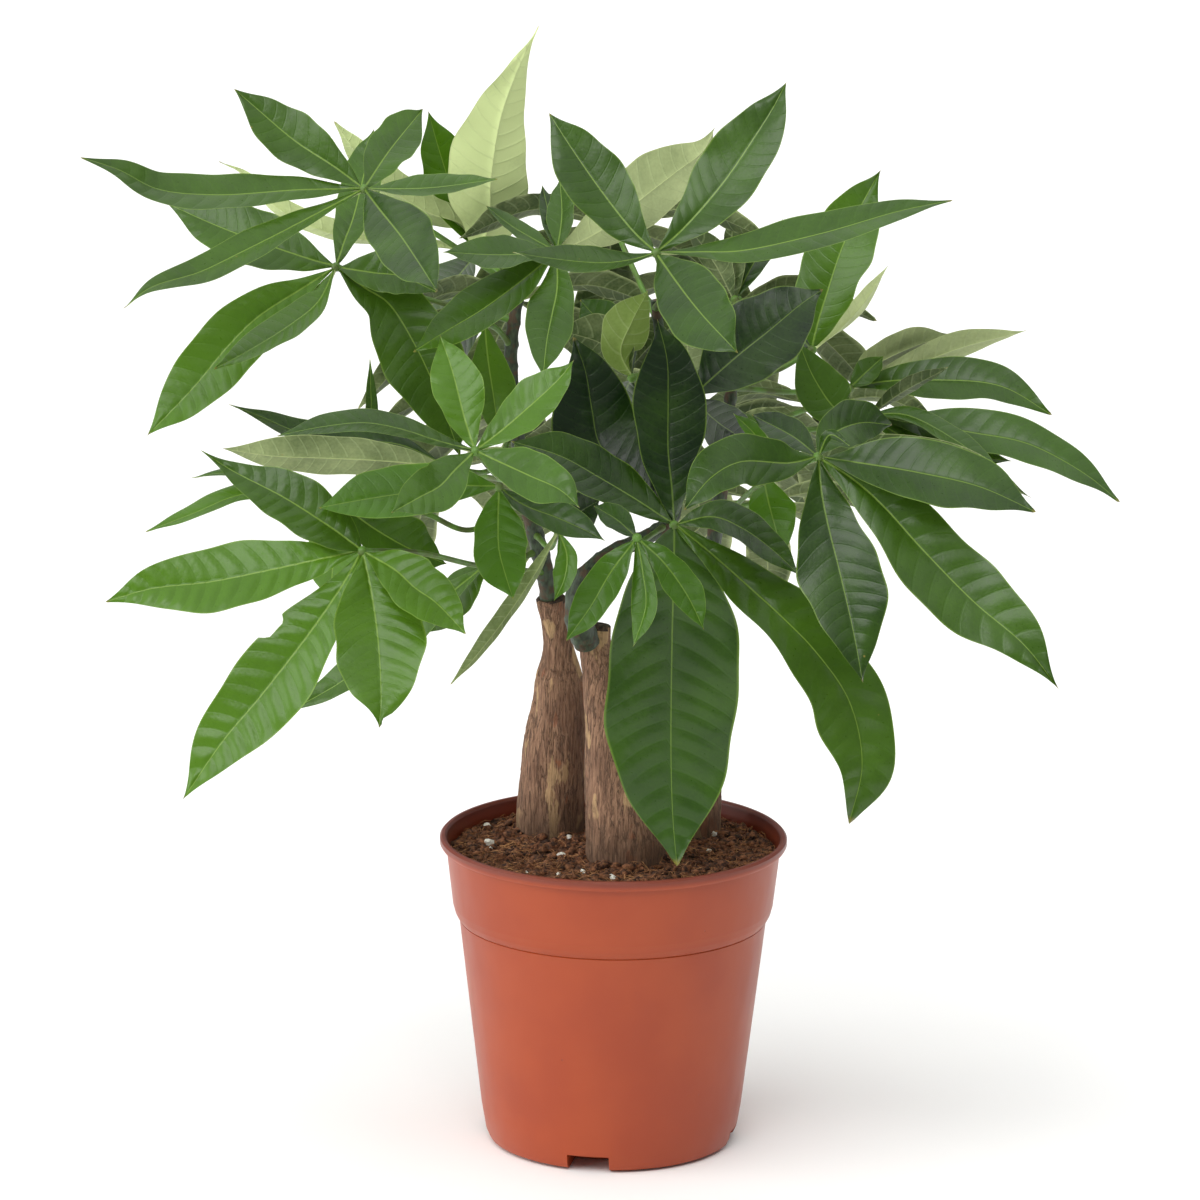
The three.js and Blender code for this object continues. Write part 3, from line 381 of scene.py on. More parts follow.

# Leaflets that differ from the rest of their leaf, by the leaf's name and their number from 0: darker ones
# mostly carry painted shade, and lighter ones painted sheen
LEAFLET_TONES_AND_PAINTED_LIGHT = {
    ("a", 3): (0.34, 0), ("b", 1): (1, 0.1), ("b", 2): (0.9, 0), ("c", 0): (1, 0.1), ("c", 1): (1, 0.2),
    ("c", 4): (0.35, 0), ("d", 3): (0.3, 0), ("d", 6): (0.45, 0), ("e", 1): (0, 0), ("e", 2): (0, 0),
    ("f", 4): (0.34, 0), ("g", 0): (1, 0.15), ("g", 1): (0.8, 0.1), ("g", 2): (0.4, 0), ("h", 2): (0.15, 0),
    ("j", 0): (0.08, 0), ("j", 1): (0.04, 0), ("j", 4): (0.6, 0), ("j", 5): (0.26, 0.1), ("k", 0): (0, 0.4),
    ("k", 1): (0, 0), ("l", 0): (0.1, 0), ("m", 2): (0.5, 0), ("m", 3): (0.22, 0), ("m", 5): (0.1, 0),
    ("n", 3): (0.05, 0.1), ("p", 2): (0.12, 0.1), ("q", 0): (0.5, 0.3), ("s", 0): (0.6, 0),
    ("s", 1): (1, 0.15), ("s", 2): (1, 0.1), ("t", 0): (0.8, 0.1), ("t", 2): (1, 0.2),
    ("t", 3): (0.7, 0), ("v", 2): (0.45, 0), ("w", 0): (1, 0), ("x", 2): (0, 0), ("y", 3): (0.65, 0),
    ("z", 3): (0, 0), ("z", 4): (0.8, 0),
}

# How strongly a leaflet's margins are waved, where it isn't 1
RUFFLES = {("j", 4): 2.6, ("j", 3): 1.6, ("m", 3): 1.5, ("m", 2): 1.4, ("z", 0): 1.5, ("h", 0): 1.5}

# Leaflets with a bitten margin: the side, the shares of the length that the bite lies between, and its depth
BITES = {("s", 2): (-1, 0.33, 0.42, 0.24), ("s", 3): (1, 0.93, 0.965, 0.5)}


# Settings that many nodes share
SMOOTH = {"interpolation_type": "SMOOTHSTEP"}
COLOURS = {"data_type": "RGBA"}
PRODUCT = {"operation": "MULTIPLY"}
SCALED_SUM = {"operation": "MULTIPLY_ADD"}
SIZE_OF = {"operation": "ABSOLUTE"}

Source = Node | NodeSocket


def linear(code: str) -> tuple[float, float, float, float]:
    """Turns an sRGB colour into a linear one.

    Args:
        code: the colour as six hex digits.

    Returns:
        Red, green, blue and an alpha of 1.
    """
    shares = [int(code[i : i + 2], 16) / 255 for i in (0, 2, 4)]
    return (*[s / 12.92 if s <= 0.04045 else ((s + 0.055) / 1.055) ** 2.4 for s in shares], 1.0)


def add_node(tree: NodeTree, kind: str, settings: dict | None = None,
             inputs: dict | None = None) -> Node:
    """Adds a node to a tree, with its settings and its links.

    Args:
        tree: the node tree.
        kind: the node's type, without ShaderNode in front.
        settings: its properties by name.
        inputs: what goes into its sockets, by the socket's name or number: a value, a colour as six hex
            digits, a socket, a node whose first output is meant, or a fade.

    Returns:
        The new node.
    """
    node = tree.nodes.new("ShaderNode" + kind)
    for name, value in (settings or {}).items():
        setattr(node, name, value)
    for key, value in (inputs or {}).items():
        if isinstance(value, dict):
            value = add_node(tree, "MapRange", SMOOTH, value)
        if isinstance(value, Node):
            value = value.outputs[0]
        if isinstance(value, NodeSocket):
            tree.links.new(value, node.inputs[key])
        else:
            node.inputs[key].default_value = linear(value) if isinstance(value, str) else value
    return node


def per_mm(size: float) -> float:
    """Returns the scale of a pattern whose lumps are about size millimetres."""
    return 1 / (size * MM)


def lumps(place: Source, size: float, detail: float = 2.0, roughness: float = 0.5) -> dict:
    """Returns a noise's inputs, for lumps of about size millimetres."""
    return {"Vector": place, "Scale": per_mm(size), "Detail": detail, "Roughness": roughness}


def fade(value: Source, low: float, high: float, at_low: float = 0.0, at_high: float = 1.0) -> dict:
    """Returns a smooth range's inputs: its value, the ends that it fades between, and what it gives there."""
    return dict(enumerate((value, low, high, at_low, at_high)))


@dataclass(frozen=True)
class Finish:
    """What one surface is made of."""

    name: str

    def material(self) -> Material:
        """Makes the material.

        Returns:
            The finished material.
        """
        material = bpy.data.materials.new(self.name)
        material.use_nodes = True
        tree = material.node_tree
        tree.nodes.clear()
        shader = add_node(tree, "BsdfPrincipled", inputs=self.draw(tree))
        add_node(tree, "OutputMaterial", inputs={"Surface": shader})
        return material

    def draw(self, tree: NodeTree) -> dict:
        """Draws the surface in the tree, and returns the shader's inputs by name."""
        raise NotImplementedError

    def paint(self, tree: NodeTree, ground: str, *coats: tuple[Source | dict, str]) -> NodeSocket:
        """Lays colours over one another.

        Args:
            tree: the node tree.
            ground: the lowest colour.
            coats: the colours above it, from below, each after its share: a node, a socket or a fade.

        Returns:
            The socket of the colour that shows.
        """
        # A mix's sockets 0, 6 and 7 are its share and its two colours
        colour = ground
        for shown, upper in coats:
            colour = add_node(tree, "Mix", COLOURS, {0: shown, 6: colour, 7: upper}).outputs[2]
        return colour


@dataclass(frozen=True)
class LeafFinish(Finish):
    """Living leaf under a waxy cuticle: satin, with side veins that are grooves above and ribs beneath.

    Args:
        dark, light, young: colours of the darkest, the lightest and a new leaf.
        vein, rib, tip: colours of the side veins, of the midrib and of a dry tip.
        roughness: the shine of the wax.
        vein_share, rib_share: how much the veins' colours show.
        relief: height of the side veins in millimetres, negative for grooves.
        ior: the wax's, set a little low, because its finest grain isn't drawn.
        cloud, cell, speck_cell: sizes of the cloudy patches, the mottle and a speck's cell.
        clouding, mottling: how much the patches and the mottle change how light the leaf is.
        rib_half, rib_narrows: the midrib's half width at the foot and what it loses.
        edging, drying, specking: how much a pale margin, a dry tip and a speck show.
    """

    dark: str
    light: str
    young: str
    vein: str
    rib: str
    tip: str
    roughness: float
    vein_share: float
    rib_share: float
    relief: float
    ior: float = 1.39
    cloud: float = 26.0
    cell: float = 1.5
    speck_cell: float = 16.0
    clouding: float = 0.7
    mottling: float = 0.2
    rib_half: float = 0.55
    rib_narrows: float = 0.4
    edging: float = 0.45
    drying: float = 0.6
    specking: float = 0.7

    def draw(self, tree: NodeTree) -> dict:
        """Draws it by the marks on each blade.

        Args:
            tree: the node tree.

        Returns:
            The shader's inputs.
        """
        blade = add_node(tree, "Attribute", {"attribute_name": "blade"})
        across, margin, vein = add_node(tree, "SeparateXYZ", inputs={0: blade.outputs["Vector"]}).outputs
        leaf = add_node(tree, "Attribute", {"attribute_name": "leaf"})
        along, tone, youth = add_node(tree, "SeparateXYZ", inputs={0: leaf.outputs["Vector"]}).outputs
        place = add_node(tree, "TexCoord").outputs["Object"]

        # Cloudy patches, and a mottle of the cells between the finest veins, keep the green from looking flat
        cloud = add_node(tree, "TexNoise", inputs=lumps(place, self.cloud, 3))
        mottle = add_node(tree, "TexNoise", inputs=lumps(place, self.cell, 2))
        # The leaf's lightness holds painted shade on leaflets that lie in shade and painted sheen on some
        # that catch the light
        light = add_node(tree, "Math", SCALED_SUM, {0: cloud, 1: self.clouding, 2: tone})
        light = add_node(tree, "Math", SCALED_SUM, {0: mottle, 1: self.mottling, 2: light})
        light = add_node(tree, "Math", {"operation": "SUBTRACT", "use_clamp": True},
                         {0: light, 1: (self.clouding + self.mottling) / 2})

        # Side veins lie at each whole number of the vein coordinate, and fade out within a tenth of it
        near = add_node(tree, "Math", {"operation": "PINGPONG"}, {0: vein, 1: 0.5})
        line = add_node(tree, "MapRange", SMOOTH, fade(near, 0.02, 0.1, 1, 0))
        veined = add_node(tree, "Math", PRODUCT, {0: line, 1: self.vein_share})

        # The midrib narrows towards the tip, and is half as pale on the darkest leaf, so it shares a leaf's
        # painted shade
        half = add_node(tree, "Math", SCALED_SUM, {0: along, 1: -self.rib_narrows, 2: self.rib_half})
        off = add_node(tree, "Math", SIZE_OF, {0: across})
        off = add_node(tree, "Math", {"operation": "DIVIDE"}, {0: off, 1: half})
        rib_paleness = add_node(tree, "MapRange", {}, fade(tone, 0, 0.5, 0.5, 1))
        ribbed = add_node(tree, "Math", PRODUCT, {0: fade(off, 0.5, 1.2, self.rib_share, 0), 1: rib_paleness})

        # A small dry speck lies in the middle of a cell here and there
        cells = add_node(tree, "TexVoronoi", inputs={"Vector": place, "Scale": per_mm(self.speck_cell)})
        speck = add_node(tree, "Math", PRODUCT, {0: fade(cells, 0.02, 0.045, self.specking, 0),
                                                 1: fade(cloud, 0.56, 0.6)})

        # The very edge is a pale line, and the last 2 mm or so of a tip are often dry
        colour = self.paint(tree, self.dark, (light, self.light), (youth, self.young), (veined, self.vein),
                            (ribbed, self.rib), (fade(margin, 0.95, 0.995, 0, self.edging), self.rib),
                            (fade(along, 0.975, 0.993, 0, self.drying), self.tip), (speck, self.tip))

        # The mottle breaks up the shine a little, and the veins are raised or sunk
        gloss = add_node(tree, "Math", SCALED_SUM, {0: mottle, 1: 0.12, 2: self.roughness - 0.06})
        fine = add_node(tree, "Math", PRODUCT, {0: mottle, 1: 0.1})
        height = add_node(tree, "Math", SCALED_SUM, {0: line, 1: self.relief, 2: fine})
        bump = add_node(tree, "Bump", inputs={"Height": height, "Distance": MM, "Strength": 0.7})
        return {"Base Color": colour, "Roughness": gloss, "IOR": self.ior, "Normal": bump}


@dataclass(frozen=True)
class StalkFinish(Finish):
    """Fresh green leaf stalk: smooth and slightly shiny, browner in places.

    Args:
        green, old: colours of its fresh and its browner places.
        patch, grain: sizes of those places and of the skin's grain.
    """

    green: str
    old: str
    patch: float = 9.0
    grain: float = 1.2

    def draw(self, tree: NodeTree) -> dict:
        """Draws it with cloudy patches.

        Args:
            tree: the node tree.

        Returns:
            The shader's inputs.
        """
        place = add_node(tree, "TexCoord").outputs["Object"]
        cloud = add_node(tree, "TexNoise", inputs=lumps(place, self.patch))
        colour = self.paint(tree, self.green, (fade(cloud, 0.35, 0.7), self.old))
        grain = add_node(tree, "TexNoise", inputs=lumps(place, self.grain))
        bump = add_node(tree, "Bump", inputs={"Height": grain, "Distance": 0.15 * MM})
        return {"Base Color": colour, "Roughness": fade(cloud, 0.2, 0.8, 0.4, 0.55), "Normal": bump}


@dataclass(frozen=True)
class ShootFinish(Finish):
    """Young green bark: grey-green skin with brown corky patches.

    Args:
        green, dark, cork: colours of the skin, of its fine streaks and of the corky patches.
        streak, patch: how wide a streak and a corky patch are.
        stretch: a streak's width as a share of its length.
    """

    green: str
    dark: str
    cork: str
    streak: float = 1.6
    patch: float = 7.0
    stretch: float = 0.35

    def draw(self, tree: NodeTree) -> dict:
        """Draws it with upright streaks and corky patches.

        Args:
            tree: the node tree.

        Returns:
            The shader's inputs.
        """
        place = add_node(tree, "TexCoord").outputs["Object"]
        tall = add_node(tree, "Mapping", inputs={"Vector": place, "Scale": (1, 1, self.stretch)})
        fine = add_node(tree, "TexNoise", inputs=lumps(tall, self.streak, 3))
        cloud = add_node(tree, "TexNoise", inputs=lumps(place, self.patch, 3))
        colour = self.paint(tree, self.dark, (fade(fine, 0.3, 0.7), self.green),
                            (fade(cloud, 0.5, 0.62), self.cork))
        bump = add_node(tree, "Bump", inputs={"Height": fine, "Distance": 0.5 * MM})
        return {"Base Color": colour, "Roughness": fade(cloud, 0.4, 0.7, 0.5, 0.8), "Normal": bump}


@dataclass(frozen=True)
class BarkFinish(Finish):
    """Dry trunk bark: dull and finely fissured, with worn tan patches, a few rusty ones, and darker towards
    the foot.

    Args:
        ridge, fissure: colours of the fine ridges and of the fissures between them.
        worn, rust, damp, crack: colours of the worn and rusty patches, the darker foot and the dark cracks.
        streak, gap: how wide a ridge is, and how far apart cracks are.
        stretch: a streak's width as a share of its length.
        patch, spot: how wide a worn and a rusty patch are.
        patch_stretch: a patch's width as a share of its height.
        foot_dark_from, foot_dark_to: heights between which the darker foot fades out, in metres.
        relief: how high a ridge stands out.
    """

    ridge: str
    fissure: str
    worn: str
    rust: str
    foot_dark: str
    crack: str
    streak: float = 0.8
    gap: float = 2.4
    stretch: float = 0.1
    patch: float = 13.0
    spot: float = 6.0
    patch_stretch: float = 0.45
    foot_dark_from: float = 0.146
    foot_dark_to: float = 0.172
    relief: float = 1.1

    def draw(self, tree: NodeTree) -> dict:
        """Draws it with fine upright streaks, and with dark cracks between them.

        Args:
            tree: the node tree.

        Returns:
            The shader's inputs.
        """
        place = add_node(tree, "TexCoord").outputs["Object"]
        tall = add_node(tree, "Mapping", inputs={"Vector": place, "Scale": (1, 1, self.stretch)})
        streak = add_node(tree, "TexNoise", inputs=lumps(tall, self.streak, 5, 0.7))

        # A crack runs where a coarser noise is at its middle value
        gaps = add_node(tree, "TexNoise", inputs=lumps(tall, self.gap, 4, 0.6))
        off = add_node(tree, "Math", {"operation": "SUBTRACT"}, {0: gaps, 1: 0.5})
        off = add_node(tree, "Math", SIZE_OF, {0: off})
        crack = add_node(tree, "MapRange", SMOOTH, fade(off, 0.004, 0.03, 1, 0))
        cracked = add_node(tree, "Math", PRODUCT, {0: crack, 1: 0.6})

        # Where the broad noise is high the bark is worn, and where it is low it is darker
        high = add_node(tree, "Mapping", inputs={"Vector": place, "Scale": (1, 1, self.patch_stretch)})
        broad = add_node(tree, "TexNoise", inputs=lumps(high, self.patch, 4))
        spots = add_node(tree, "TexNoise", inputs=lumps(high, self.spot, 3))
        height = add_node(tree, "SeparateXYZ", inputs={0: place}).outputs[2]
        colour = self.paint(tree, self.fissure, (fade(streak, 0.3, 0.7), self.ridge), (cracked, self.crack),
                            (fade(broad, 0.565, 0.6, 0, 0.75), self.worn),
                            (fade(spots, 0.62, 0.68, 0, 0.5), self.rust),
                            (fade(broad, 0.36, 0.48, 0.45, 0), self.fissure),
                            (fade(height, self.foot_dark_from, self.foot_dark_to, 0.6, 0), self.foot_dark))
        height = add_node(tree, "Math", SCALED_SUM, {0: crack, 1: -0.5, 2: streak})
        bump = add_node(tree, "Bump", inputs={"Height": height, "Distance": self.relief * MM,
                                              "Strength": 0.9})
        return {"Base Color": colour, "Roughness": fade(streak, 0.3, 0.7, 0.95, 0.8), "Normal": bump}


@dataclass(frozen=True)
class PlasticFinish(Finish):
    """Injection-moulded polypropylene in a terracotta colour: satin and a little uneven, with small pits.

    Its lip is darkened with painted shade, and the inside of its rim with painted shade and peat dust.

    Args:
        body, deep: the plastic's colour, and that of its deeper patches.
        lip, pit: the colour of the painted shade on the lip and inside the rim, and that of a pit.
        ior: polypropylene's.
        lip_from, lip_to: heights between which the lip's painted shade begins, in metres.
        lean: what the wall's radius gains with each metre of height.
        inner_from, inner_to: radii at the foot, in metres, that a leaning place between wall and outside has.
        rim_shade_from, rim_shade_to: heights between which the painted shade inside the rim begins, in
            metres.
        cloud, film: sizes of the deeper patches and of the changes in shine.
        pit_cell, pit_patch: sizes of a pit's cell and of the places that have pits.
    """

    body: str
    deep: str
    lip: str
    pit: str
    ior: float = 1.49
    lip_from: float = 0.1495
    lip_to: float = 0.1525
    lean: float = 0.1164
    inner_from: float = 0.0639
    inner_to: float = 0.0644
    rim_shade_from: float = 0.12
    rim_shade_to: float = 0.126
    cloud: float = 45.0
    film: float = 12.0
    pit_cell: float = 13.0
    pit_patch: float = 25.0

    def draw(self, tree: NodeTree) -> dict:
        """Draws it with cloudy patches, small pits and a stained lip.

        Args:
            tree: the node tree.

        Returns:
            The shader's inputs.
        """
        place = add_node(tree, "TexCoord").outputs["Object"]
        cloud = add_node(tree, "TexNoise", inputs=lumps(place, self.cloud, 3))
        height = add_node(tree, "SeparateXYZ", inputs={0: place}).outputs[2]

        # The wall's inside is told from its outside by the radius that it would have at the foot
        flat = add_node(tree, "Mapping", inputs={"Vector": place, "Scale": (1, 1, 0)})
        reach = add_node(tree, "VectorMath", {"operation": "LENGTH"}, {0: flat}).outputs[1]
        foot = add_node(tree, "Math", SCALED_SUM, {0: height, 1: -self.lean, 2: reach})
        # Painted shade, with peat dust, darkens the wall's inside above the soil
        rim_shade = add_node(tree, "Math", PRODUCT, {0: fade(foot, self.inner_from, self.inner_to, 0.7, 0),
                                                 1: fade(height, self.rim_shade_from, self.rim_shade_to)})

        # A pit lies in the middle of a cell here and there
        cells = add_node(tree, "TexVoronoi", inputs={"Vector": place, "Scale": per_mm(self.pit_cell)})
        rare = add_node(tree, "TexNoise", inputs=lumps(place, self.pit_patch, 1))
        pits = add_node(tree, "Math", PRODUCT, {0: fade(cells, 0.025, 0.045, 1, 0),
                                                1: fade(rare, 0.52, 0.55)})
        pitted = add_node(tree, "Math", PRODUCT, {0: pits, 1: 0.75})
        # Painted shade darkens the lip, and the inside above the soil
        colour = self.paint(tree, self.body, (fade(cloud, 0.35, 0.65, 0, 0.4), self.deep),
                            (fade(height, self.lip_from, self.lip_to, 0, 0.8), self.lip), (rim_shade, self.lip),
                            (pitted, self.pit))
        flow = add_node(tree, "Mapping", inputs={"Vector": place, "Scale": (1, 1, 0.4)})
        film = add_node(tree, "TexNoise", inputs=lumps(flow, self.film, 4))
        bump = add_node(tree, "Bump", {"invert": True}, {"Height": pits, "Distance": 0.3 * MM})
        return {"Base Color": colour, "Roughness": fade(film, 0.3, 0.75, 0.36, 0.44),
                "IOR": self.ior, "Normal": bump}


@dataclass(frozen=True)
class LooseFinish(Finish):
    """A loose dry thing such as peat, coir or perlite: dull and broken in colour.

    Args:
        dark, light: the colours that it varies between.
        size: the size of the lumps.
        roughness: nearly 1 for anything that dry.
    """

    dark: str
    light: str
    size: float
    roughness: float = 0.95

    def draw(self, tree: NodeTree) -> dict:
        """Draws it with grains of the given size and finer ones on them.

        Args:
            tree: the node tree.

        Returns:
            The shader's inputs.
        """
        place = add_node(tree, "TexCoord").outputs["Object"]
        grains = add_node(tree, "TexNoise", inputs=lumps(place, self.size, 5, 0.65))
        colour = self.paint(tree, self.dark, (fade(grains, 0.38, 0.66), self.light))
        shiny = self.roughness - 0.12
        bump = add_node(tree, "Bump", inputs={"Height": grains, "Distance": self.size * 0.6 * MM})
        return {"Base Color": colour, "Roughness": fade(grains, 0.3, 0.7, self.roughness, shiny),
                "Normal": bump}


# Living leaf, waxed above: a satin deep green, fresher in places, with side veins as fine sunken lines
LEAF_TOP = LeafFinish("waxy_leaf_top", dark="0d2407", light="476c12", young="588c12", vein="5a8a2a",
                      rib="86a444", tip="8a7a3c", roughness=0.3, vein_share=0.03, rib_share=0.55,
                      relief=-0.08)

# The same leaf beneath, without the wax: pale and matt, with veins that stand out
LEAF_UNDER = LeafFinish("leaf_underside", dark="3e5122", light="dbe9a8", young="a8c85a", vein="c6d79c",
                        rib="c4d090", tip="8a7a3c", roughness=0.55, vein_share=0.15, rib_share=0.6,
                        relief=0.25)

# Fresh stalk: clear green and slightly shiny
STALK = StalkFinish("green_leaf_stalk", green="57802a", old="4c5a26")

# Young bark that is still green: dull grey-green with brown cork breaking through
SHOOT_SKIN = ShootFinish("young_green_bark", green="3f4f38", dark="262f22", cork="4c3b2a")

# Old bark, dried and fissured: rough, dull brown-grey with tan and rusty places
BARK = BarkFinish("fissured_trunk_bark", ridge="ad866a", fissure="70503e", worn="cca87c", rust="ac6440",
                  foot_dark="5c4634", crack="3e2d21")

# Sawn wood that weathered: nearly black and rough
CUT_WOOD = LooseFinish("dark_cut_wood", dark="2b201a", light="55422f", size=1.8, roughness=0.9)

# Moulded plastic: an even warm red-brown with a soft sheen; its lip colour is painted shade on the lip and
# inside the rim
POT_PLASTIC = PlasticFinish("terracotta_polypropylene", body="9f4018", deep="8c2f10", lip="6a2b1d",
                            pit="431d12")

# Peat: dark crumbs that take all shine away, with lighter brown bits
PEAT = LooseFinish("peat_and_coir", dark="321d13", light="94603f", size=3.0)

# Coconut fibre: dry and straw-brown
COIR = LooseFinish("coir_fibre", dark="6e4026", light="c99262", size=9.0)

# Expanded glass grain: chalky white
PERLITE = LooseFinish("perlite_grain", dark="d8d3c8", light="f7f4ee", size=1.0)


def new_mesh() -> BMesh:
    """Starts a mesh with the two vectors that the leaves' finishes read.

    Returns:
        The empty mesh.
    """
    bm = bmesh.new()
    bm.verts.layers.float_vector.new("blade")
    bm.verts.layers.float_vector.new("leaf")
    return bm


def wrap(bm: BMesh, places: ndarray, slots: int | list[int] = 0, marks: dict | None = None) -> None:
    """Wraps a grid round a form, and joins its side edges and each end that shrinks to a point.

    A flat form has its two faces in the two halves of the columns. Their squares are split alike, so that
    neither face comes through the other.

    Args:
        bm: the mesh to add to.
        places: where each point of the grid goes, as rows, columns and x, y, z.
        slots: the material slot of the faces, or a list with one for each column of faces.
        marks: for a layer's name, its vectors in rows and columns.
    """
    rows, columns = places.shape[0] - 1, places.shape[1] - 1
    verts = bmesh.ops.create_grid(bm, x_segments=columns, y_segments=rows, size=0.5)["verts"]
    layers = {bm.verts.layers.float_vector[name]: values for name, values in (marks or {}).items()}
    if marks:
        halves = {"FIXED": [], "ALTERNATE": []}
        for face in {face for vert in verts for face in vert.link_faces}:
            halves["FIXED" if face.calc_center_median().x < 0 else "ALTERNATE"].append(face)
        for method, faces in halves.items():
            bmesh.ops.triangulate(bm, faces=faces, quad_method=method)
    for face in {face for vert in verts for face in vert.link_faces}:
        column = int((face.calc_center_median().x + 0.5) * columns)
        face.material_index = slots if isinstance(slots, int) else slots[column]
        face.smooth = True
    for vert in verts:
        row, column = round((vert.co.y + 0.5) * rows), round((vert.co.x + 0.5) * columns)
        vert.co = places[row, column]
        for layer, values in layers.items():
            vert[layer] = values[row, column]
    seam = [vert for vert in verts if vert.is_boundary]
    bmesh.ops.remove_doubles(bm, verts=seam, dist=TOUCHING)
    kept = [vert for vert in verts if vert.is_valid]
    bmesh.ops.recalc_face_normals(bm, faces=list({face for vert in kept for face in vert.link_faces}))


def add_object(name: str, data: ID) -> Object:
    """Adds an object to the scene.

    Args:
        name: its name.
        data: its mesh, camera or light.

    Returns:
        The new object.
    """
    added = bpy.data.objects.new(name, data)
    bpy.context.scene.collection.objects.link(added)
    return added


def finish_piece(bm: BMesh, name: str, finishes: list[Material],
                 nodes: tuple[str, ...] = (), sharp: float = 50) -> None:
    """Makes an object of a mesh in millimetres, hides the CAD nodes that it stands in for, and hangs it on
    the body.

    Args:
        bm: the mesh, which is used up.
        name: the piece's name.
        finishes: its materials, in the order of the faces' slots.
        nodes: the CAD nodes that it replaces.
        sharp: edges with more than this angle are shaded as sharp, in degrees.
    """
    bmesh.ops.scale(bm, vec=(MM, MM, MM), verts=bm.verts[:])
    mesh = bpy.data.meshes.new(name)
    bm.to_mesh(mesh)
    bm.free()
    for finish in finishes:
        mesh.materials.append(finish)
    mesh.set_sharp_from_angle(angle=math.radians(sharp))
    piece = add_object(name, mesh)
    if nodes:
        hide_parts(*nodes)
    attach(piece, BODY)
    log.info("%s: %d faces", name, len(mesh.polygons))


def unit(vectors: ndarray) -> ndarray:
    """Returns the vectors, which lie along the last axis, at a length of 1."""
    return vectors / np.maximum(np.linalg.norm(vectors, axis=-1, keepdims=True), 1e-9)


def ramp(values: ndarray, reach: float) -> ndarray:
    """Returns 0 for a value of 0, rising evenly to 1 at reach, and 1 beyond."""
    return np.clip(values / reach, 0, 1)


def both_skins(over: ndarray, under: ndarray) -> ndarray:
    """Returns the columns over a blade and, on from the margin and back, those under it."""
    return np.concatenate([over, under[:, ::-1][:, 1:]], axis=1)


def length_of(points: ndarray) -> float:
    """Returns the length of a line through points."""
    return float(np.sum(np.linalg.norm(np.diff(points, axis=0), axis=1)))


class Sighting:
    """The viewpoint that the plant was sighted from: its eye, and its square view of 1200 units."""

    EYE = np.array([-7.5, -3065.2, 1024.9])
    PITCH = math.radians(13.8)
    ROLL = math.radians(0.45)
    FOCAL = 6500.0
    MIDDLE = 600.0

    def __init__(self) -> None:
        """Works out the view's directions."""
        self.ahead = np.array([0, math.cos(self.PITCH), -math.sin(self.PITCH)])
        level_up = Vector((0, math.sin(self.PITCH), math.cos(self.PITCH)))
        roll = Matrix.Rotation(-self.ROLL, 3, Vector(self.ahead))
        self.right = np.array(roll @ Vector((1, 0, 0)))
        self.up = np.array(roll @ level_up)

    def place(self, sighted: ndarray) -> ndarray:
        """Turns sighted places into real ones.

        Args:
            sighted: the places, along the last axis as u, v and depth.

        Returns:
            The real places.
        """
        u, v, depth = np.moveaxis(np.asarray(sighted, float), -1, 0)
        ray = (self.ahead + ((u - self.MIDDLE) / self.FOCAL)[..., None] * self.right
               + ((self.MIDDLE - v) / self.FOCAL)[..., None] * self.up)
        return self.EYE + ray * ((depth - self.EYE[1]) / ray[..., 1])[..., None]

    def seen(self, places: ndarray) -> ndarray:
        """Turns real places into sighted ones.

        Args:
            places: the places.

        Returns:
            The sighted places, as u, v and depth.
        """
        away = places - self.EYE
        scale = self.FOCAL / (away @ self.ahead)
        u, v = self.MIDDLE + scale * (away @ self.right), self.MIDDLE - scale * (away @ self.up)
        return np.stack([u, v, places[..., 1]], axis=-1)


SIGHT = Sighting()


class SmoothLine:
    """A smooth line through points: a centripetal Catmull-Rom spline, read by the share of its length."""

    PARTS = 200

    def __init__(self, points: list | tuple) -> None:
        """Measures the line.

        Args:
            points: the points that it passes, each with the same number of values.
        """
        inner = np.asarray(points, float)
        self.points = np.vstack([2 * inner[0] - inner[1], inner, 2 * inner[-1] - inner[-2]])
        self.spans = len(inner) - 1
        ticks = np.linspace(0, 1, self.PARTS + 1)
        steps = np.linalg.norm(np.diff(self.raw(ticks), axis=0), axis=1)
        self.measured = np.concatenate([[0], np.cumsum(steps)])
        self.ticks = ticks

    def raw(self, ticks: ndarray) -> ndarray:
        """Reads the spline.

        Args:
            ticks: its own ticks, from 0 to 1, which aren't even along its length.

        Returns:
            The points there.
        """
        scaled = np.clip(ticks, 0, 1) * self.spans
        first = np.minimum(scaled.astype(int), self.spans - 1)
        part = (scaled - first)[:, None]
        a, b, c, d = (self.points[first + i] for i in range(4))
        gaps = [np.sum((q - p) ** 2, axis=1, keepdims=True) ** 0.25 for p, q in ((a, b), (b, c), (c, d))]
        before, here, after = (np.maximum(gap, 1e-4) for gap in gaps)
        leave = ((b - a) / before - (c - a) / (before + here) + (c - b) / here) * here
        enter = ((c - b) / here - (d - b) / (here + after) + (d - c) / after) * here
        bend, twist = -3 * b + 3 * c - 2 * leave - enter, 2 * b - 2 * c + leave + enter
        return b + leave * part + bend * part**2 + twist * part**3

    def at(self, shares: ndarray) -> ndarray:
        """Returns the points at shares of the line's length."""
        return self.raw(np.interp(np.asarray(shares) * self.measured[-1], self.measured, self.ticks))


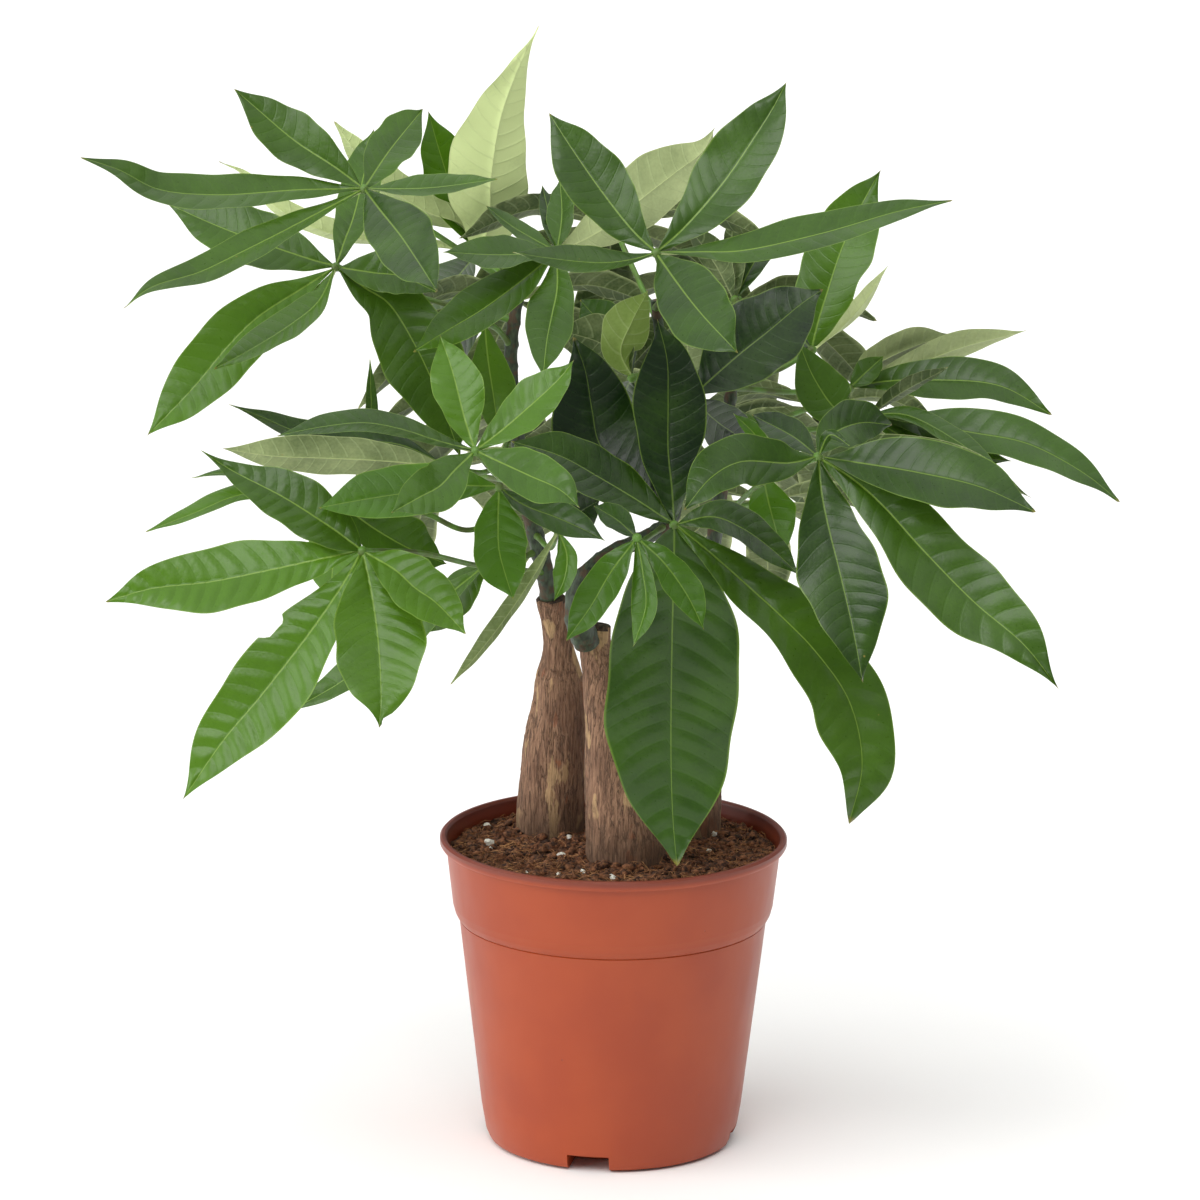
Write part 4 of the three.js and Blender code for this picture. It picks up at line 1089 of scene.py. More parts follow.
def stem_rings(places: ndarray, radii: ndarray, sides: int) -> tuple[ndarray, ndarray]:
    """Lays rings round an axis.

    Args:
        places: points of the axis, in rows.
        radii: the radius at each, or one for each point and side.
        sides: how many sides a ring has. Its last point lies on its first.

    Returns:
        The rings' points, and the directions from the axis to them.
    """
    along = unit(np.gradient(places, axis=0))
    side = np.array([1.0, 0.0, 0.0])
    frames = []
    for way in along:
        side = unit(side - way * (side @ way))
        frames.append((side, np.cross(way, side)))
    turns = np.linspace(0, 2 * math.pi, sides + 1)
    first, second = (np.array([pair[i] for pair in frames])[:, None, :] for i in (0, 1))
    outward = first * np.cos(turns)[None, :, None] + second * np.sin(turns)[None, :, None]
    radii = np.asarray(radii, float)
    radii = radii[:, None] if radii.ndim == 1 else radii
    return places[:, None, :] + outward * radii[..., None], outward


def roughen(rings: ndarray, outward: ndarray, rise: Callable[[ndarray], float]) -> None:
    """Moves the points of rings outwards, and keeps each ring closed.

    Args:
        rings: the points, which are changed.
        outward: the way outwards at each.
        rise: works out how far a point moves from where it is.
    """
    for row in range(rings.shape[0]):
        for column in range(rings.shape[1] - 1):
            rings[row, column] += outward[row, column] * rise(rings[row, column])
    rings[:, -1] = rings[:, 0]


def closed(rings: ndarray, foot: ndarray, end: ndarray) -> ndarray:
    """Returns the rings between two more, which are shrunk to the points foot and end."""
    first, last = (np.broadcast_to(point, rings[:1].shape) for point in (foot, end))
    return np.concatenate([first, rings, last])


def add_stem(bm: BMesh, places: ndarray, radii: ndarray, sides: int, slot: int = 0) -> None:
    """Adds a round stem whose ends close on its axis.

    Args:
        bm: the mesh to add to.
        places: points of the axis, in rows.
        radii: the radius at each.
        sides: how many sides it has.
        slot: the material slot of its faces.
    """
    rings, _ = stem_rings(places, radii, sides)
    wrap(bm, closed(rings, places[0], places[-1]), slot)


def noise_at(place: ndarray | Vector, sizes: Triple) -> float:
    """Returns a noise from -1 to 1 at a place in millimetres, whose lumps have the given sizes."""
    return noise.noise(Vector([p / s for p, s in zip(place, sizes)]))


@dataclass
class Shoot:
    """A green shoot that grew from a cut trunk, with the scars that fallen stalks left.

    Args:
        stem: the trunk that it grew from.
        sides: how many sides it has.
        step: how long a face is.
        scar, scar_spacing: how far a scar stands out, and how far apart they are.
        scar_power: the more, the narrower a scar is.
        lump, lump_size: how far its skin's lumps stand out, and their sizes.
    """

    stem: Stem
    sides: int = 20
    step: float = 1.2
    scar: float = 0.5
    scar_spacing: float = 11.0
    scar_power: int = 12
    lump: float = 0.35
    lump_size: Triple = (3.0, 3.0, 5.0)

    def __post_init__(self) -> None:
        """Lays its axis."""
        self.plan = np.array(SHOOTS[self.stem])
        self.line = SmoothLine(self.plan[:, :3])

    def build(self) -> None:
        """Makes the shoot, thickened a little at each scar."""
        axis = SmoothLine(np.column_stack([SIGHT.place(self.plan[:, :3]), self.plan[:, 3]]))
        rows = int(axis.measured[-1] / self.step)
        shares = np.linspace(0, 1, rows)
        points = axis.at(shares)
        places, radii = points[:, :3], points[:, 3]
        lengths = shares * axis.measured[-1]
        scars = np.abs(np.sin(math.pi * lengths / self.scar_spacing)) ** self.scar_power
        rings, outward = stem_rings(places, radii + self.scar * scars, self.sides)
        roughen(rings, outward, lambda place: self.lump * noise_at(place, self.lump_size))
        bm = new_mesh()
        wrap(bm, closed(rings, places[0], places[-1]))
        name, finishes = self.stem.value, [MATERIALS["shoot"]]
        finish_piece(bm, f"green_shoot_{name}", finishes, (f"shoot_{name}",))


@dataclass
class Trunk:
    """A thick trunk, swollen at its foot and cut off at the top, with fissured bark.

    Its axis goes down into the soil as far as the solid of the frame does.

    Args:
        stem: which trunk it is.
        sides: how many sides it has.
        step: how long a face is.
        collar: how far above the soil it keeps the foot's radius.
        relief, sunk: how far the bark stands out, and how far it is let in first.
        bend, bend_size: how far its ridges wander, and how wide and long their bends are.
        ridge_size, lump_size, crack_size: sizes of the ridges, lumps and cross cracks.
        lids: rings of the cut top, as shares of its radius and heights above its edge.
    """

    stem: Stem
    sides: int = 72
    step: float = 1.7
    collar: float = 3.0
    relief: float = 0.9
    sunk: float = 0.45
    bend: float = 2.2
    bend_size: Triple = (9, 9, 30)
    ridge_size: Triple = (2.6, 2.6, 19)
    lump_size: Triple = (11, 11, 26)
    crack_size: Triple = (5, 5, 2.2)
    lids: tuple[Pair, ...] = ((0.9, 0.6), (0.5, 0.9), (0, 0.4))

    def bark(self, place: ndarray) -> float:
        """Works out how far the bark stands out.

        Args:
            place: a place on the trunk.

        Returns:
            The height of the bark there.
        """
        bend = self.bend * noise_at(place, self.bend_size)
        ridges = 1 - 2 * abs(noise_at(place + bend, self.ridge_size))
        lumps = noise_at(place, self.lump_size)
        cracks = max(0.0, noise_at(place, self.crack_size) - 0.35)
        return self.relief * (0.55 * ridges + 1.1 * lumps - 1.3 * cracks) - self.sunk

    def build(self) -> None:
        """Makes the trunk from its foot to its cut top."""
        name = self.stem.value
        (x, y), axis, foot_radius = TRUNKS[self.stem]
        plan = np.array(axis, float)
        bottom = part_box(f"trunk_{name}")[0].z / MM
        foot = [(x, y, z, foot_radius) for z in (bottom, SOIL_TOP + self.collar)]
        line = SmoothLine(np.vstack([foot, np.column_stack([SIGHT.place(plan[:, :3]), plan[:, 3]])]))
        rows = int(line.measured[-1] / self.step)
        points = line.at(np.linspace(0, 1, rows))
        rings, outward = stem_rings(points[:, :3], points[:, 3], self.sides)
        roughen(rings, outward, self.bark)
        cut = points[-1, :3]
        lids = [cut + (rings[-1] - cut) * share + (0, 0, rise) for share, rise in self.lids]
        base = np.broadcast_to(points[0, :3], rings[0].shape)
        places = np.concatenate([base[None], rings, np.array(lids)])
        bm = new_mesh()
        wrap(bm, places)
        top_height = cut[2] - 1.0
        for face in bm.faces:
            if face.calc_center_median().z > top_height:
                face.material_index = 1
        finishes = [MATERIALS["bark"], MATERIALS["cut"]]
        finish_piece(bm, f"trunk_bark_{name}", finishes, (f"trunk_{name}",), 80)


# The side veins' spacing for two lengths of a leaflet, in millimetres
VEIN_SPACING = ((100, 170), (6.4, 11.2))

# How suddenly a bite begins, as a share of the length, and how strongly a ruffled margin may swing at most
BITE_EDGE = 0.007
GREATEST_SWING = 1.6


@dataclass
class Blade:
    """One leaflet: a thin blade folded along its midrib, waved at its margins and pleated between its veins.

    Args:
        frond: the leaf that it belongs to.
        index: its number in the leaf, from 0.
        plan: where it lies.
        thick: its thickness in the middle.
        fold: how far its margins are raised, as a share of half the width.
        wave: how far its margins wave, as a share of the width.
        least: half the width that it keeps at the stalk.
        stagger: how far the veins of one half are ahead of the other's, as a share of their spacing.
        shift, belly, lift: how much deeper its solid's hub, middle and tip lie than planned.
    """

    frond: "Frond"
    index: int
    plan: LeafletPlan
    thick: float = 0.5
    fold: float = 0.16
    wave: float = 0.035
    least: float = 0.5
    stagger: float = 0.42
    shift: float = 0.0
    belly: float = 0.0
    lift: float = 0.0

    def __post_init__(self) -> None:
        """Lays the midrib."""
        hub_u, hub_v, _ = self.frond.plan.hub
        self.line = SmoothLine([(hub_u, hub_v), *self.plan.rib, self.plan.tip])
        under = self.plan.face is Face.UNDERSIDE
        self.lean = (-1 if self.plan.tip[0] > hub_u else 1) * (-1 if under else 1)
        self.phase = 2.4 * self.index + hub_u * 0.1 + hub_v * 0.07
        self.key = (self.frond.name, self.index)
        self.ruffle = RUFFLES.get(self.key, 1.0)

    def weights(self, shares: ndarray) -> ndarray:
        """Returns how far the hub's, the belly's and the tip's own moves carry each share, in rows."""
        return np.column_stack([np.ones_like(shares), 4 * shares * (1 - shares), shares**2])

    def base_depth(self, shares: ndarray) -> ndarray:
        """Returns the planned depths of the midrib."""
        return self.frond.plan.hub[2] + self.plan.deeper * shares

    def rib(self, shares: ndarray) -> ndarray:
        """Returns the real places of the midrib."""
        depths = self.base_depth(shares) + self.weights(shares) @ (self.shift, self.belly, self.lift)
        return SIGHT.place(np.column_stack([self.line.at(shares), depths]))

    def outline(self, shares: ndarray) -> ndarray:
        """Works out the blade's outline.

        Args:
            shares: shares of the length.

        Returns:
            Half the width at each, as a share of the greatest.
        """
        peak = self.plan.broadest
        rise, fall = self.plan.ends * peak, self.plan.ends * (1 - peak)
        shape = [x**rise * (1 - x) ** fall for x in (np.clip(shares, 0, 1), peak)]
        tip = 1 - 0.42 * np.exp(-(((1 - shares) / 0.1) ** 2))
        return shape[0] / shape[1] * tip

    def swell(self, shares: ndarray, sides: ndarray) -> ndarray:
        """Works out the margins' own waves and bites.

        Args:
            shares: shares of the length.
            sides: places across, from -1 at one margin to 1 at the other.

        Returns:
            How far the margins swell by share and side, as a share of half the width.
        """
        along, side = shares[:, None], np.sign(sides)[None, :]
        waves = 0.05 * np.sin(11 * along + 3 * self.phase + 2.1 * side)
        waves = waves + 0.022 * np.sin(27 * along + 1.7 * self.phase + 4 * side)
        swell = waves * self.ruffle
        if self.key in BITES:
            bitten, start, end, depth = BITES[self.key]
            inside = np.tanh((along - start) / BITE_EDGE) - np.tanh((along - end) / BITE_EDGE)
            swell = swell - 0.5 * depth * inside * (side == bitten)
        return swell

    def surface(self, shares: ndarray, sides: ndarray) -> tuple[ndarray, ndarray, ndarray]:
        """Works out the blade's middle surface, without veins.

        Args:
            shares: shares of the length.
            sides: places across, from -1 at one margin to 1 at the other.

        Returns:
            Places by share and side, the way that the top faces at each share, and half the width there.
        """
        here = self.rib(shares)
        step = 0.02
        ends = [self.rib(np.clip(shares + way * step, 0, 1)) for way in (1, -1)]
        along = unit(ends[0] - ends[1])
        ahead = unit(here - SIGHT.EYE)
        half = np.maximum(self.plan.seen / 2 * self.outline(shares), self.least * (1 - shares**8))
        if self.plan.normal is not None:
            wide = unit(np.cross(along, self.plan.normal))
        else:
            flat = unit(along - ahead * np.sum(along * ahead, axis=1, keepdims=True))
            wide = np.cross(flat, ahead) - ahead * self.lean * math.tan(math.radians(self.plan.turn))
        wide = wide * half[:, None]
        face = unit(np.cross(wide, along))
        if self.plan.normal is not None:
            turned = face @ np.array(self.plan.normal) < 0
        else:
            turned = (np.sum(face * ahead, axis=1) > 0) != (self.plan.face is Face.UNDERSIDE)
        face[turned] *= -1
        width = np.linalg.norm(wide, axis=1)
        swing = self.wave * self.plan.seen * np.sin(9 * shares[:, None] + self.phase + 1.3 * sides[None, :])
        swing = swing * min(self.ruffle, GREATEST_SWING)
        raised = np.abs(sides)[None, :] * (self.fold * width[:, None] + swing)
        reach = sides[None, :] * (1 + self.swell(shares, sides) * np.abs(sides)[None, :])
        places = here[:, None, :] + wide[:, None, :] * reach[..., None] + face[:, None, :] * raised[..., None]
        return places, face, width

    def add_to(self, bm: BMesh, per_side: int, step: float) -> None:
        """Adds the blade, with its veins, to a mesh.

        Args:
            bm: the mesh to add to.
            per_side: how many faces lie across each half of the blade.
            step: how long a face is.
        """
        length = length_of(self.rib(np.linspace(0, 1, 20)))
        rows = int(np.clip(length / step, 22, 104))
        even = np.linspace(0, 1, rows + 1)
        shares = 0.75 * even + 0.25 * (1 - np.cos(math.pi * even)) / 2
        spread = np.linspace(-1, 1, 2 * per_side + 1)
        spread = np.sign(spread) * np.abs(spread) ** 1.25
        places, face, width = self.surface(shares, spread)

        # Pleats swell between the side veins, which run outwards and curve towards the tip
        across = spread[None, :] * width[:, None]
        along = np.broadcast_to((shares * length)[:, None], across.shape)
        margin = np.abs(spread)[None, :]
        reach = np.abs(across) * (0.2 + 0.35 * margin)
        spacing = float(np.interp(length, *VEIN_SPACING))
        uneven = 0.25 * np.sin(5 * shares + self.phase) + 0.14 * np.sin(17 * shares + 2.3 * self.phase)
        vein = (along - reach) / spacing + uneven[:, None] + self.stagger * (spread < 0)[None, :]
        ease_in = ramp(margin, 0.25) * ramp(1 - margin, 0.3)
        ease_on = (ramp(shares, 0.12) * ramp(1 - shares, 0.1))[:, None]
        swell = 0.085 * self.frond.pleat * spacing * ease_in * ease_on
        pleat = swell * (np.abs(np.sin(math.pi * vein)) ** 1.1 - 0.5)
        ripple = 0.012 * self.plan.seen * np.sin(31 * shares[:, None] + 2 * self.phase + 2 * spread[None, :])
        pleat = pleat + ripple * margin**3 * ease_on

        # The blade is thin at its margins, and its midrib stands out beneath and thickens towards the stalk
        stalky = np.clip(1 - shares / 0.09, 0, 1)[:, None]
        thin = 1 - margin**4
        body = self.thick * thin * np.ones_like(across)
        keel = np.exp(-((across / 0.75) ** 2)) * (1.1 * (1 - shares) ** 0.6)[:, None]
        upper = body / 2 + 0.5 * stalky * (1 - spread**2)[None, :]
        groove = 0.2 * np.exp(-((across / 0.9) ** 2)) * (1 - stalky)
        upper = upper - groove * thin
        lower = -body / 2 - keel * thin * ramp(1 - shares, 0.03)[:, None]
        lifts = both_skins(pleat + upper, pleat + lower)
        skin = both_skins(places, places) + face[:, None, :] * lifts[..., None]
        skin[0], skin[-1] = places[0, per_side], places[-1, per_side]

        # A leaflet's lightness holds painted shade where it lies in shade and painted sheen where it catches
        # the light
        tone, youth = LEAFLET_TONES_AND_PAINTED_LIGHT.get(self.key, self.frond.tone)
        marks = np.zeros((2, *skin.shape))
        for layer, parts in enumerate(((across, margin, vein), (shares[:, None], tone, youth))):
            for part, values in enumerate(parts):
                values = np.broadcast_to(values, across.shape)
                marks[layer][..., part] = both_skins(values, values)
        # Painted shade darkens the undersides of the far side's leaves
        if isinstance(self.frond.plan, BackPlan):
            marks[1][:, 2 * per_side + 1 :, 1] = BACK_UNDER_SHADE
        slots = [0] * (2 * per_side) + [1] * (2 * per_side)
        wrap(bm, skin, slots, {"blade": marks[0], "leaf": marks[1]})


@dataclass
class Stalk:
    """The stalk of one hand-shaped leaf, from the middle of its shoot to the hub.

    Args:
        frond: the leaf that it belongs to.
        radius, foot: its radius, and the one that it has at its foot.
        swelling: how much thicker it gets at the hub.
        foot_reach, hub_reach: how soon it is thin again from its foot and from the hub.
        sides: how many sides it has.
        step: how long a face is.
        shift, belly: how much deeper its solid's hub and middle lie than planned.
    """

    frond: "Frond"
    radius: float = 1.35
    foot: float = 2.1
    swelling: float = 0.5
    foot_reach: float = 7.0
    hub_reach: float = 5.0
    sides: int = 12
    step: float = 2.2
    shift: float = 0.0
    belly: float = 0.0

    def __post_init__(self) -> None:
        """Lays its axis."""
        plan = self.frond.plan
        start = self.frond.shoot.line.at([plan.at])[0]
        via = getattr(plan, "via", ())
        self.line = SmoothLine([start, *via, plan.hub])

    def weights(self, shares: ndarray) -> ndarray:
        """Returns how far the hub's and the belly's own moves carry each share, in rows."""
        return np.column_stack([shares, 4 * shares * (1 - shares)])

    def axis(self, shares: ndarray) -> ndarray:
        """Lays the axis as deep as its solid.

        Args:
            shares: shares of the length.

        Returns:
            The real places there.
        """
        sighted = self.line.at(shares)
        sighted[:, 2] += self.weights(shares) @ (self.shift, self.belly)
        return SIGHT.place(sighted)

    def add_to(self, bm: BMesh, slot: int) -> None:
        """Adds the stalk, thickened at both ends, to a mesh.

        Args:
            bm: the mesh to add to.
            slot: the material slot of its faces.
        """
        length = length_of(self.axis(np.linspace(0, 1, 20)))
        rows = int(np.clip(length / self.step, 8, 60))
        shares = np.linspace(0, 1, rows)
        left = (1 - shares) * length
        radii = self.radius + (self.foot - self.radius) * np.exp(-((shares * length / self.foot_reach) ** 2))
        radii = radii + self.swelling * np.exp(-((left / self.hub_reach) ** 2))
        add_stem(bm, self.axis(shares), radii, self.sides, slot)


# How near a sighted line a solid's corners count, in units of the view, and the greatest easing
STALK_REACH, RIB_REACH = 4.5, 1.3
GREATEST_EASING = 25.0

# The depths are fitted in rounds, which trust the corners within about CLOSE of the last fit
FITTINGS, CLOSE, STEADYING = 12, 0.3, 0.02


@dataclass
class Frond:
    """One hand-shaped leaf: leaflets that meet in a knob at the end of a stalk.

    Args:
        name: the name of its node, without frond in front.
        plan: where it lies.
        shoot: the shoot that it grows on.
        tone: how light it is, with painted shade and painted sheen, and how young.
        pleat: how plainly its blades swell between their veins.
        knob: the radius of the knob.
        back_tilt: how steeply a leaf of the far side faces up.
        back_droop, back_arch: how far its leaflets hang and arch, as shares of their length.
        back_spread: the angles that its leaflets fan out at, in degrees.
        back_shorter: the share of length that a leaflet loses for each degree of that.
        back_slender: a leaflet's width as a share of its length.
    """

    name: str
    plan: FrondPlan | BackPlan
    shoot: Shoot
    tone: Pair
    pleat: float = 1.0
    knob: float = 2.4
    back_tilt: float = math.radians(48)
    back_droop: float = 0.3
    back_arch: float = 0.07
    back_spread: tuple[float, ...] = (0, 55, -55, 112, -112)
    back_shorter: float = 0.0019
    back_slender: float = 0.3

    def __post_init__(self) -> None:
        """Plans its leaflets and reads their depths from the frame."""
        plans = self.fanned() if isinstance(self.plan, BackPlan) else self.plan.leaflets
        self.blades = [Blade(self, index, plan) for index, plan in enumerate(plans)]
        self.stalk = Stalk(self)
        self.read_depths()

    def fanned(self) -> list[LeafletPlan]:
        """Fans the leaflets of a leaf of the far side round the way that it faces.

        Returns:
            Their plans.
        """
        plan = self.plan
        centre = SIGHT.place(plan.hub)
        compass = math.radians(plan.facing)
        out = np.array([math.cos(compass), math.sin(compass), 0])
        high = np.array([0, 0, 1.0])
        normal = out * math.cos(self.back_tilt) + high * math.sin(self.back_tilt)
        down = out * math.sin(self.back_tilt) - high * math.cos(self.back_tilt)
        sideways = np.cross(normal, down)
        plans = []
        for angle in self.back_spread:
            turn = math.radians(angle)
            length = plan.long * (1 - self.back_shorter * abs(angle))
            way = down * math.cos(turn) + sideways * math.sin(turn)
            tip = centre + way * length - high * self.back_droop * length
            rib = (centre + tip) / 2 + (normal * self.back_arch + high * 0.25 * self.back_droop) * length
            seen_tip, seen_rib = SIGHT.seen(tip), SIGHT.seen(rib)
            deeper = float(tip[1] - centre[1])
            plans.append(LeafletPlan(tuple(seen_tip[:2]), deeper, length * self.back_slender, 0,
                                     (tuple(seen_rib[:2]),), Face.TOP, Vector(normal)))
        return plans

    def read_depths(self) -> None:
        """Reads from the frame's solid how far it was eased to keep clear of its neighbours.

        The corners of the solid that are seen on a midrib or on the stalk tell how deep it lies there. What
        all of them say together settles the hub's shift, and each blade's belly and lift.
        """
        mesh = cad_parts[f"frond_{self.name}"].data
        corners = np.array([v.co for v in mesh.vertices]) / MM
        seen = np.unique(np.round(SIGHT.seen(corners), 2), axis=0)
        shares = np.linspace(0, 1, 301)
        rows, values = [], []
        unknowns = 2 + 2 * len(self.blades)
        for number, part in enumerate([self.stalk, *self.blades]):
            line = part.line.at(shares)
            gaps = np.hypot(seen[:, None, 0] - line[None, :, 0], seen[:, None, 1] - line[None, :, 1])
            nearest = gaps.argmin(axis=1)
            reach, end = (STALK_REACH, 0.85) if number == 0 else (RIB_REACH, 1.01)
            share = shares[nearest]
            good = (gaps.min(axis=1) < reach) & (share > 0.15) & (share < end)
            planned = line[nearest, 2] if number == 0 else part.base_depth(share)
            residual = seen[:, 2] - planned
            good &= np.abs(residual) < GREATEST_EASING
            weights = part.weights(share[good])
            block = np.zeros((int(good.sum()), unknowns))
            block[:, 0] = weights[:, 0]
            first = max(1, 2 * number)
            block[:, first : first + weights.shape[1] - 1] = weights[:, 1:]
            rows.append(block)
            values.append(residual[good])
        matrix, target = np.vstack(rows), np.concatenate(values)
        found = np.zeros(unknowns)
        for _ in range(FITTINGS):
            trust = 1 / (np.abs(matrix @ found - target) + CLOSE)
            weighted = matrix * trust[:, None]
            found = np.linalg.solve(weighted.T @ matrix + STEADYING * np.eye(unknowns), weighted.T @ target)
        self.stalk.shift, self.stalk.belly = found[0], found[1]
        for number, blade in enumerate(self.blades, start=1):
            blade.shift = found[0]
            blade.belly, blade.lift = found[2 * number : 2 * number + 2]

    def build(self, per_side: int, step: float) -> None:
        """Makes the leaf.

        Args:
            per_side: how many faces lie across each half of a blade.
            step: how long a face is along a blade.
        """
        bm = new_mesh()
        for blade in self.blades:
            blade.add_to(bm, per_side, step)
        self.stalk.add_to(bm, 2)
        hub = self.stalk.axis(np.array([1.0]))[0]
        spot = Matrix.Translation(hub)
        knob = bmesh.ops.create_icosphere(bm, subdivisions=2, radius=self.knob, matrix=spot)["verts"]
        for face in {face for vert in knob for face in vert.link_faces}:
            face.material_index = 2
            face.smooth = True
        finishes = [MATERIALS["top"], MATERIALS["under"], MATERIALS["stalk"]]
        finish_piece(bm, f"hand_leaf_{self.name}", finishes, (f"frond_{self.name}",))


@dataclass
class NurseryPot:
    """The round plastic pot: its wall is spun from one outline, and drain channels are cut across its foot.

    Args:
        outside, inside: radii and heights of the outline, up the outside and down inside.
        height: the pot's height.
        steps: how many sides it has.
        round: how near its corners its long sides stay straight.
        plain_foot: below this height in millimetres the corners have no such rounds.
        speck: edges shorter than this are merged after a cut.
        channels, first: how many drain channels it has, and the direction of the first in degrees.
        width, channel_height: a channel's.
        inner, outer: how far from the pot's axis a channel starts and ends.
        roof: the thickness of the plastic over a channel.
        drain_radius, drain_from, drain_length: a drain hole's radius, reach and depth.
    """

    outside: tuple[Pair, ...] = (
        (0, 0), (57.5, 0), (60.4, 1.4), (62, 5), (64.2, 18), (75.4, 112.2), (75.0, 112.6), (75.7, 112.9),
        (76.6, 114.2), (77.6, 116.2), (78, 117.8), (78.6, 120), (82, 149.2), (84.2, 149.2), (85, 150.4),
        (85, 153), (84, 154), (82.6, 154), (81.6, 152.8))
    inside: tuple = ((80.6, 148), (77.1, 119), (74, 112.8), (62.8, 18), (57, 2.2), (0, 2.2))
    height: float = 154.0
    steps: int = 144
    round: float = 0.5
    plain_foot: float = 30.0
    speck: float = 0.002
    channels: int = 4
    first: float = -100.6
    width: float = 20.6
    channel_height: float = 8.4
    inner: float = 40.0
    outer: float = 70.0
    roof: float = 2.0
    drain_radius: float = 4.0
    drain_from: float = 49.0
    drain_length: float = 8.0

    def spun(self, outline: list[Pair]) -> BMesh:
        """Spins a solid from an outline whose two ends lie on the axis.

        Long sides above the foot get a point near each end, so that corners are shaded as small rounds.

        Args:
            outline: its radii and heights.

        Returns:
            The solid's mesh.
        """
        bm = bmesh.new()
        corners = [np.array(corner, float) for corner in outline]
        points = [corners[0]]
        for start, end in zip(corners, corners[1:]):
            length = float(np.linalg.norm(end - start))
            if length > 3 * self.round and max(start[1], end[1]) > self.plain_foot:
                way = (end - start) / length * self.round
                points += [start + way, end - way]
            points.append(end)
        verts = [bm.verts.new((radius, 0, height)) for radius, height in points]
        edges = [bm.edges.new(pair) for pair in zip(verts, verts[1:])]
        bmesh.ops.spin(bm, geom=verts + edges, cent=(0, 0, 0), axis=(0, 0, 1), angle=2 * math.pi,
                       steps=self.steps, use_merge=True)
        bmesh.ops.remove_doubles(bm, verts=bm.verts[:], dist=TOUCHING)
        bmesh.ops.recalc_face_normals(bm, faces=bm.faces[:])
        return bm

    def box(self, bm: BMesh, turn: float, extra: float, below: float) -> None:
        """Adds the block of one channel to a mesh.

        Args:
            bm: the mesh to add to.
            turn: the channel's direction.
            extra: how much larger the block is on each side and above.
            below: how far it reaches below the pot's foot.
        """
        start = self.inner - extra
        height = self.channel_height + extra + below
        verts = bmesh.ops.create_cube(bm, size=1)["verts"]
        bmesh.ops.scale(bm, vec=(self.outer - start, self.width + 2 * extra, height), verts=verts)
        middle = ((self.outer + start) / 2, 0, height / 2 - below)
        bmesh.ops.translate(bm, vec=middle, verts=verts)
        bmesh.ops.rotate(bm, matrix=Matrix.Rotation(turn, 3, "Z"), verts=verts)

    def helper(self, name: str, bm: BMesh) -> Object:
        """Makes a helper object, which a Boolean needs.

        Args:
            name: its name.
            bm: its mesh, which is used up.

        Returns:
            The helper.
        """
        mesh = bpy.data.meshes.new(name)
        bm.to_mesh(mesh)
        bm.free()
        return add_object(name, mesh)

    def combined(self, first: Object, second: Object,
                 operation: str) -> Object:
        """Makes a Boolean, and merges the specks that it leaves.

        Args:
            first: the object that is changed.
            second: the one that it is cut, joined or kept with, which is removed.
            operation: DIFFERENCE, UNION or INTERSECT.

        Returns:
            The first object.
        """
        modifier = first.modifiers.new("combine", "BOOLEAN")
        modifier.operation, modifier.object, modifier.solver = operation, second, "EXACT"
        bpy.context.view_layer.update()
        evaluated = first.evaluated_get(bpy.context.evaluated_depsgraph_get())
        mesh = bpy.data.meshes.new_from_object(evaluated)
        bm = bmesh.new()
        bm.from_mesh(mesh)
        bmesh.ops.remove_doubles(bm, verts=bm.verts[:], dist=self.speck)
        bmesh.ops.dissolve_degenerate(bm, edges=bm.edges[:], dist=self.speck)
        bm.to_mesh(mesh)
        bm.free()
        first.modifiers.clear()
        old, first.data = first.data, mesh
        bpy.data.meshes.remove(old)
        bpy.data.objects.remove(second)
        return first

    def turns(self) -> list[float]:
        """Returns the directions of the channels."""
        return [math.radians(self.first + 360 / self.channels * i) for i in range(self.channels)]

    def cut_channels(self, bm: BMesh, room: float) -> Object:
        """Cuts what fills the pot clear of the channels' roofs and cheeks.

        Args:
            bm: the filling's mesh, which is used up.
            room: how far it keeps from them.

        Returns:
            An object of the cut filling.
        """
        cheeks = bmesh.new()
        for turn in self.turns():
            self.box(cheeks, turn, self.roof + room, 0)
        return self.combined(self.helper("filling", bm), self.helper("cheeks", cheeks), "DIFFERENCE")

    def build(self) -> None:
        """Makes the pot with its channels and their drain holes."""
        turns = self.turns()
        wall = self.helper("pot_wall", self.spun([*self.outside, *self.inside]))
        envelope = self.helper("pot_envelope", self.spun([*self.outside, (0, self.height)]))
        cheeks, hollows, drains = bmesh.new(), bmesh.new(), bmesh.new()
        for turn in turns:
            self.box(cheeks, turn, self.roof, 0)
            self.box(hollows, turn, 0, 1)
            way = Matrix.Rotation(turn, 4, "Z")
            spot = way @ Matrix.Translation((self.drain_from, 0, self.channel_height))
            bmesh.ops.create_cone(drains, cap_ends=True, segments=32, radius1=self.drain_radius,
                                  radius2=self.drain_radius, depth=self.drain_length, matrix=spot)
        raised = self.combined(self.helper("cheeks", cheeks), envelope, "INTERSECT")
        pot = self.combined(wall, raised, "UNION")
        for cut in (hollows, drains):
            pot = self.combined(pot, self.helper("cut", cut), "DIFFERENCE")
        bm = bmesh.new()
        bm.from_mesh(pot.data)
        bpy.data.objects.remove(pot)
        for face in bm.faces:
            face.smooth = True
        finish_piece(bm, "nursery_pot", [MATERIALS["plastic"]], ("pot",), 40)


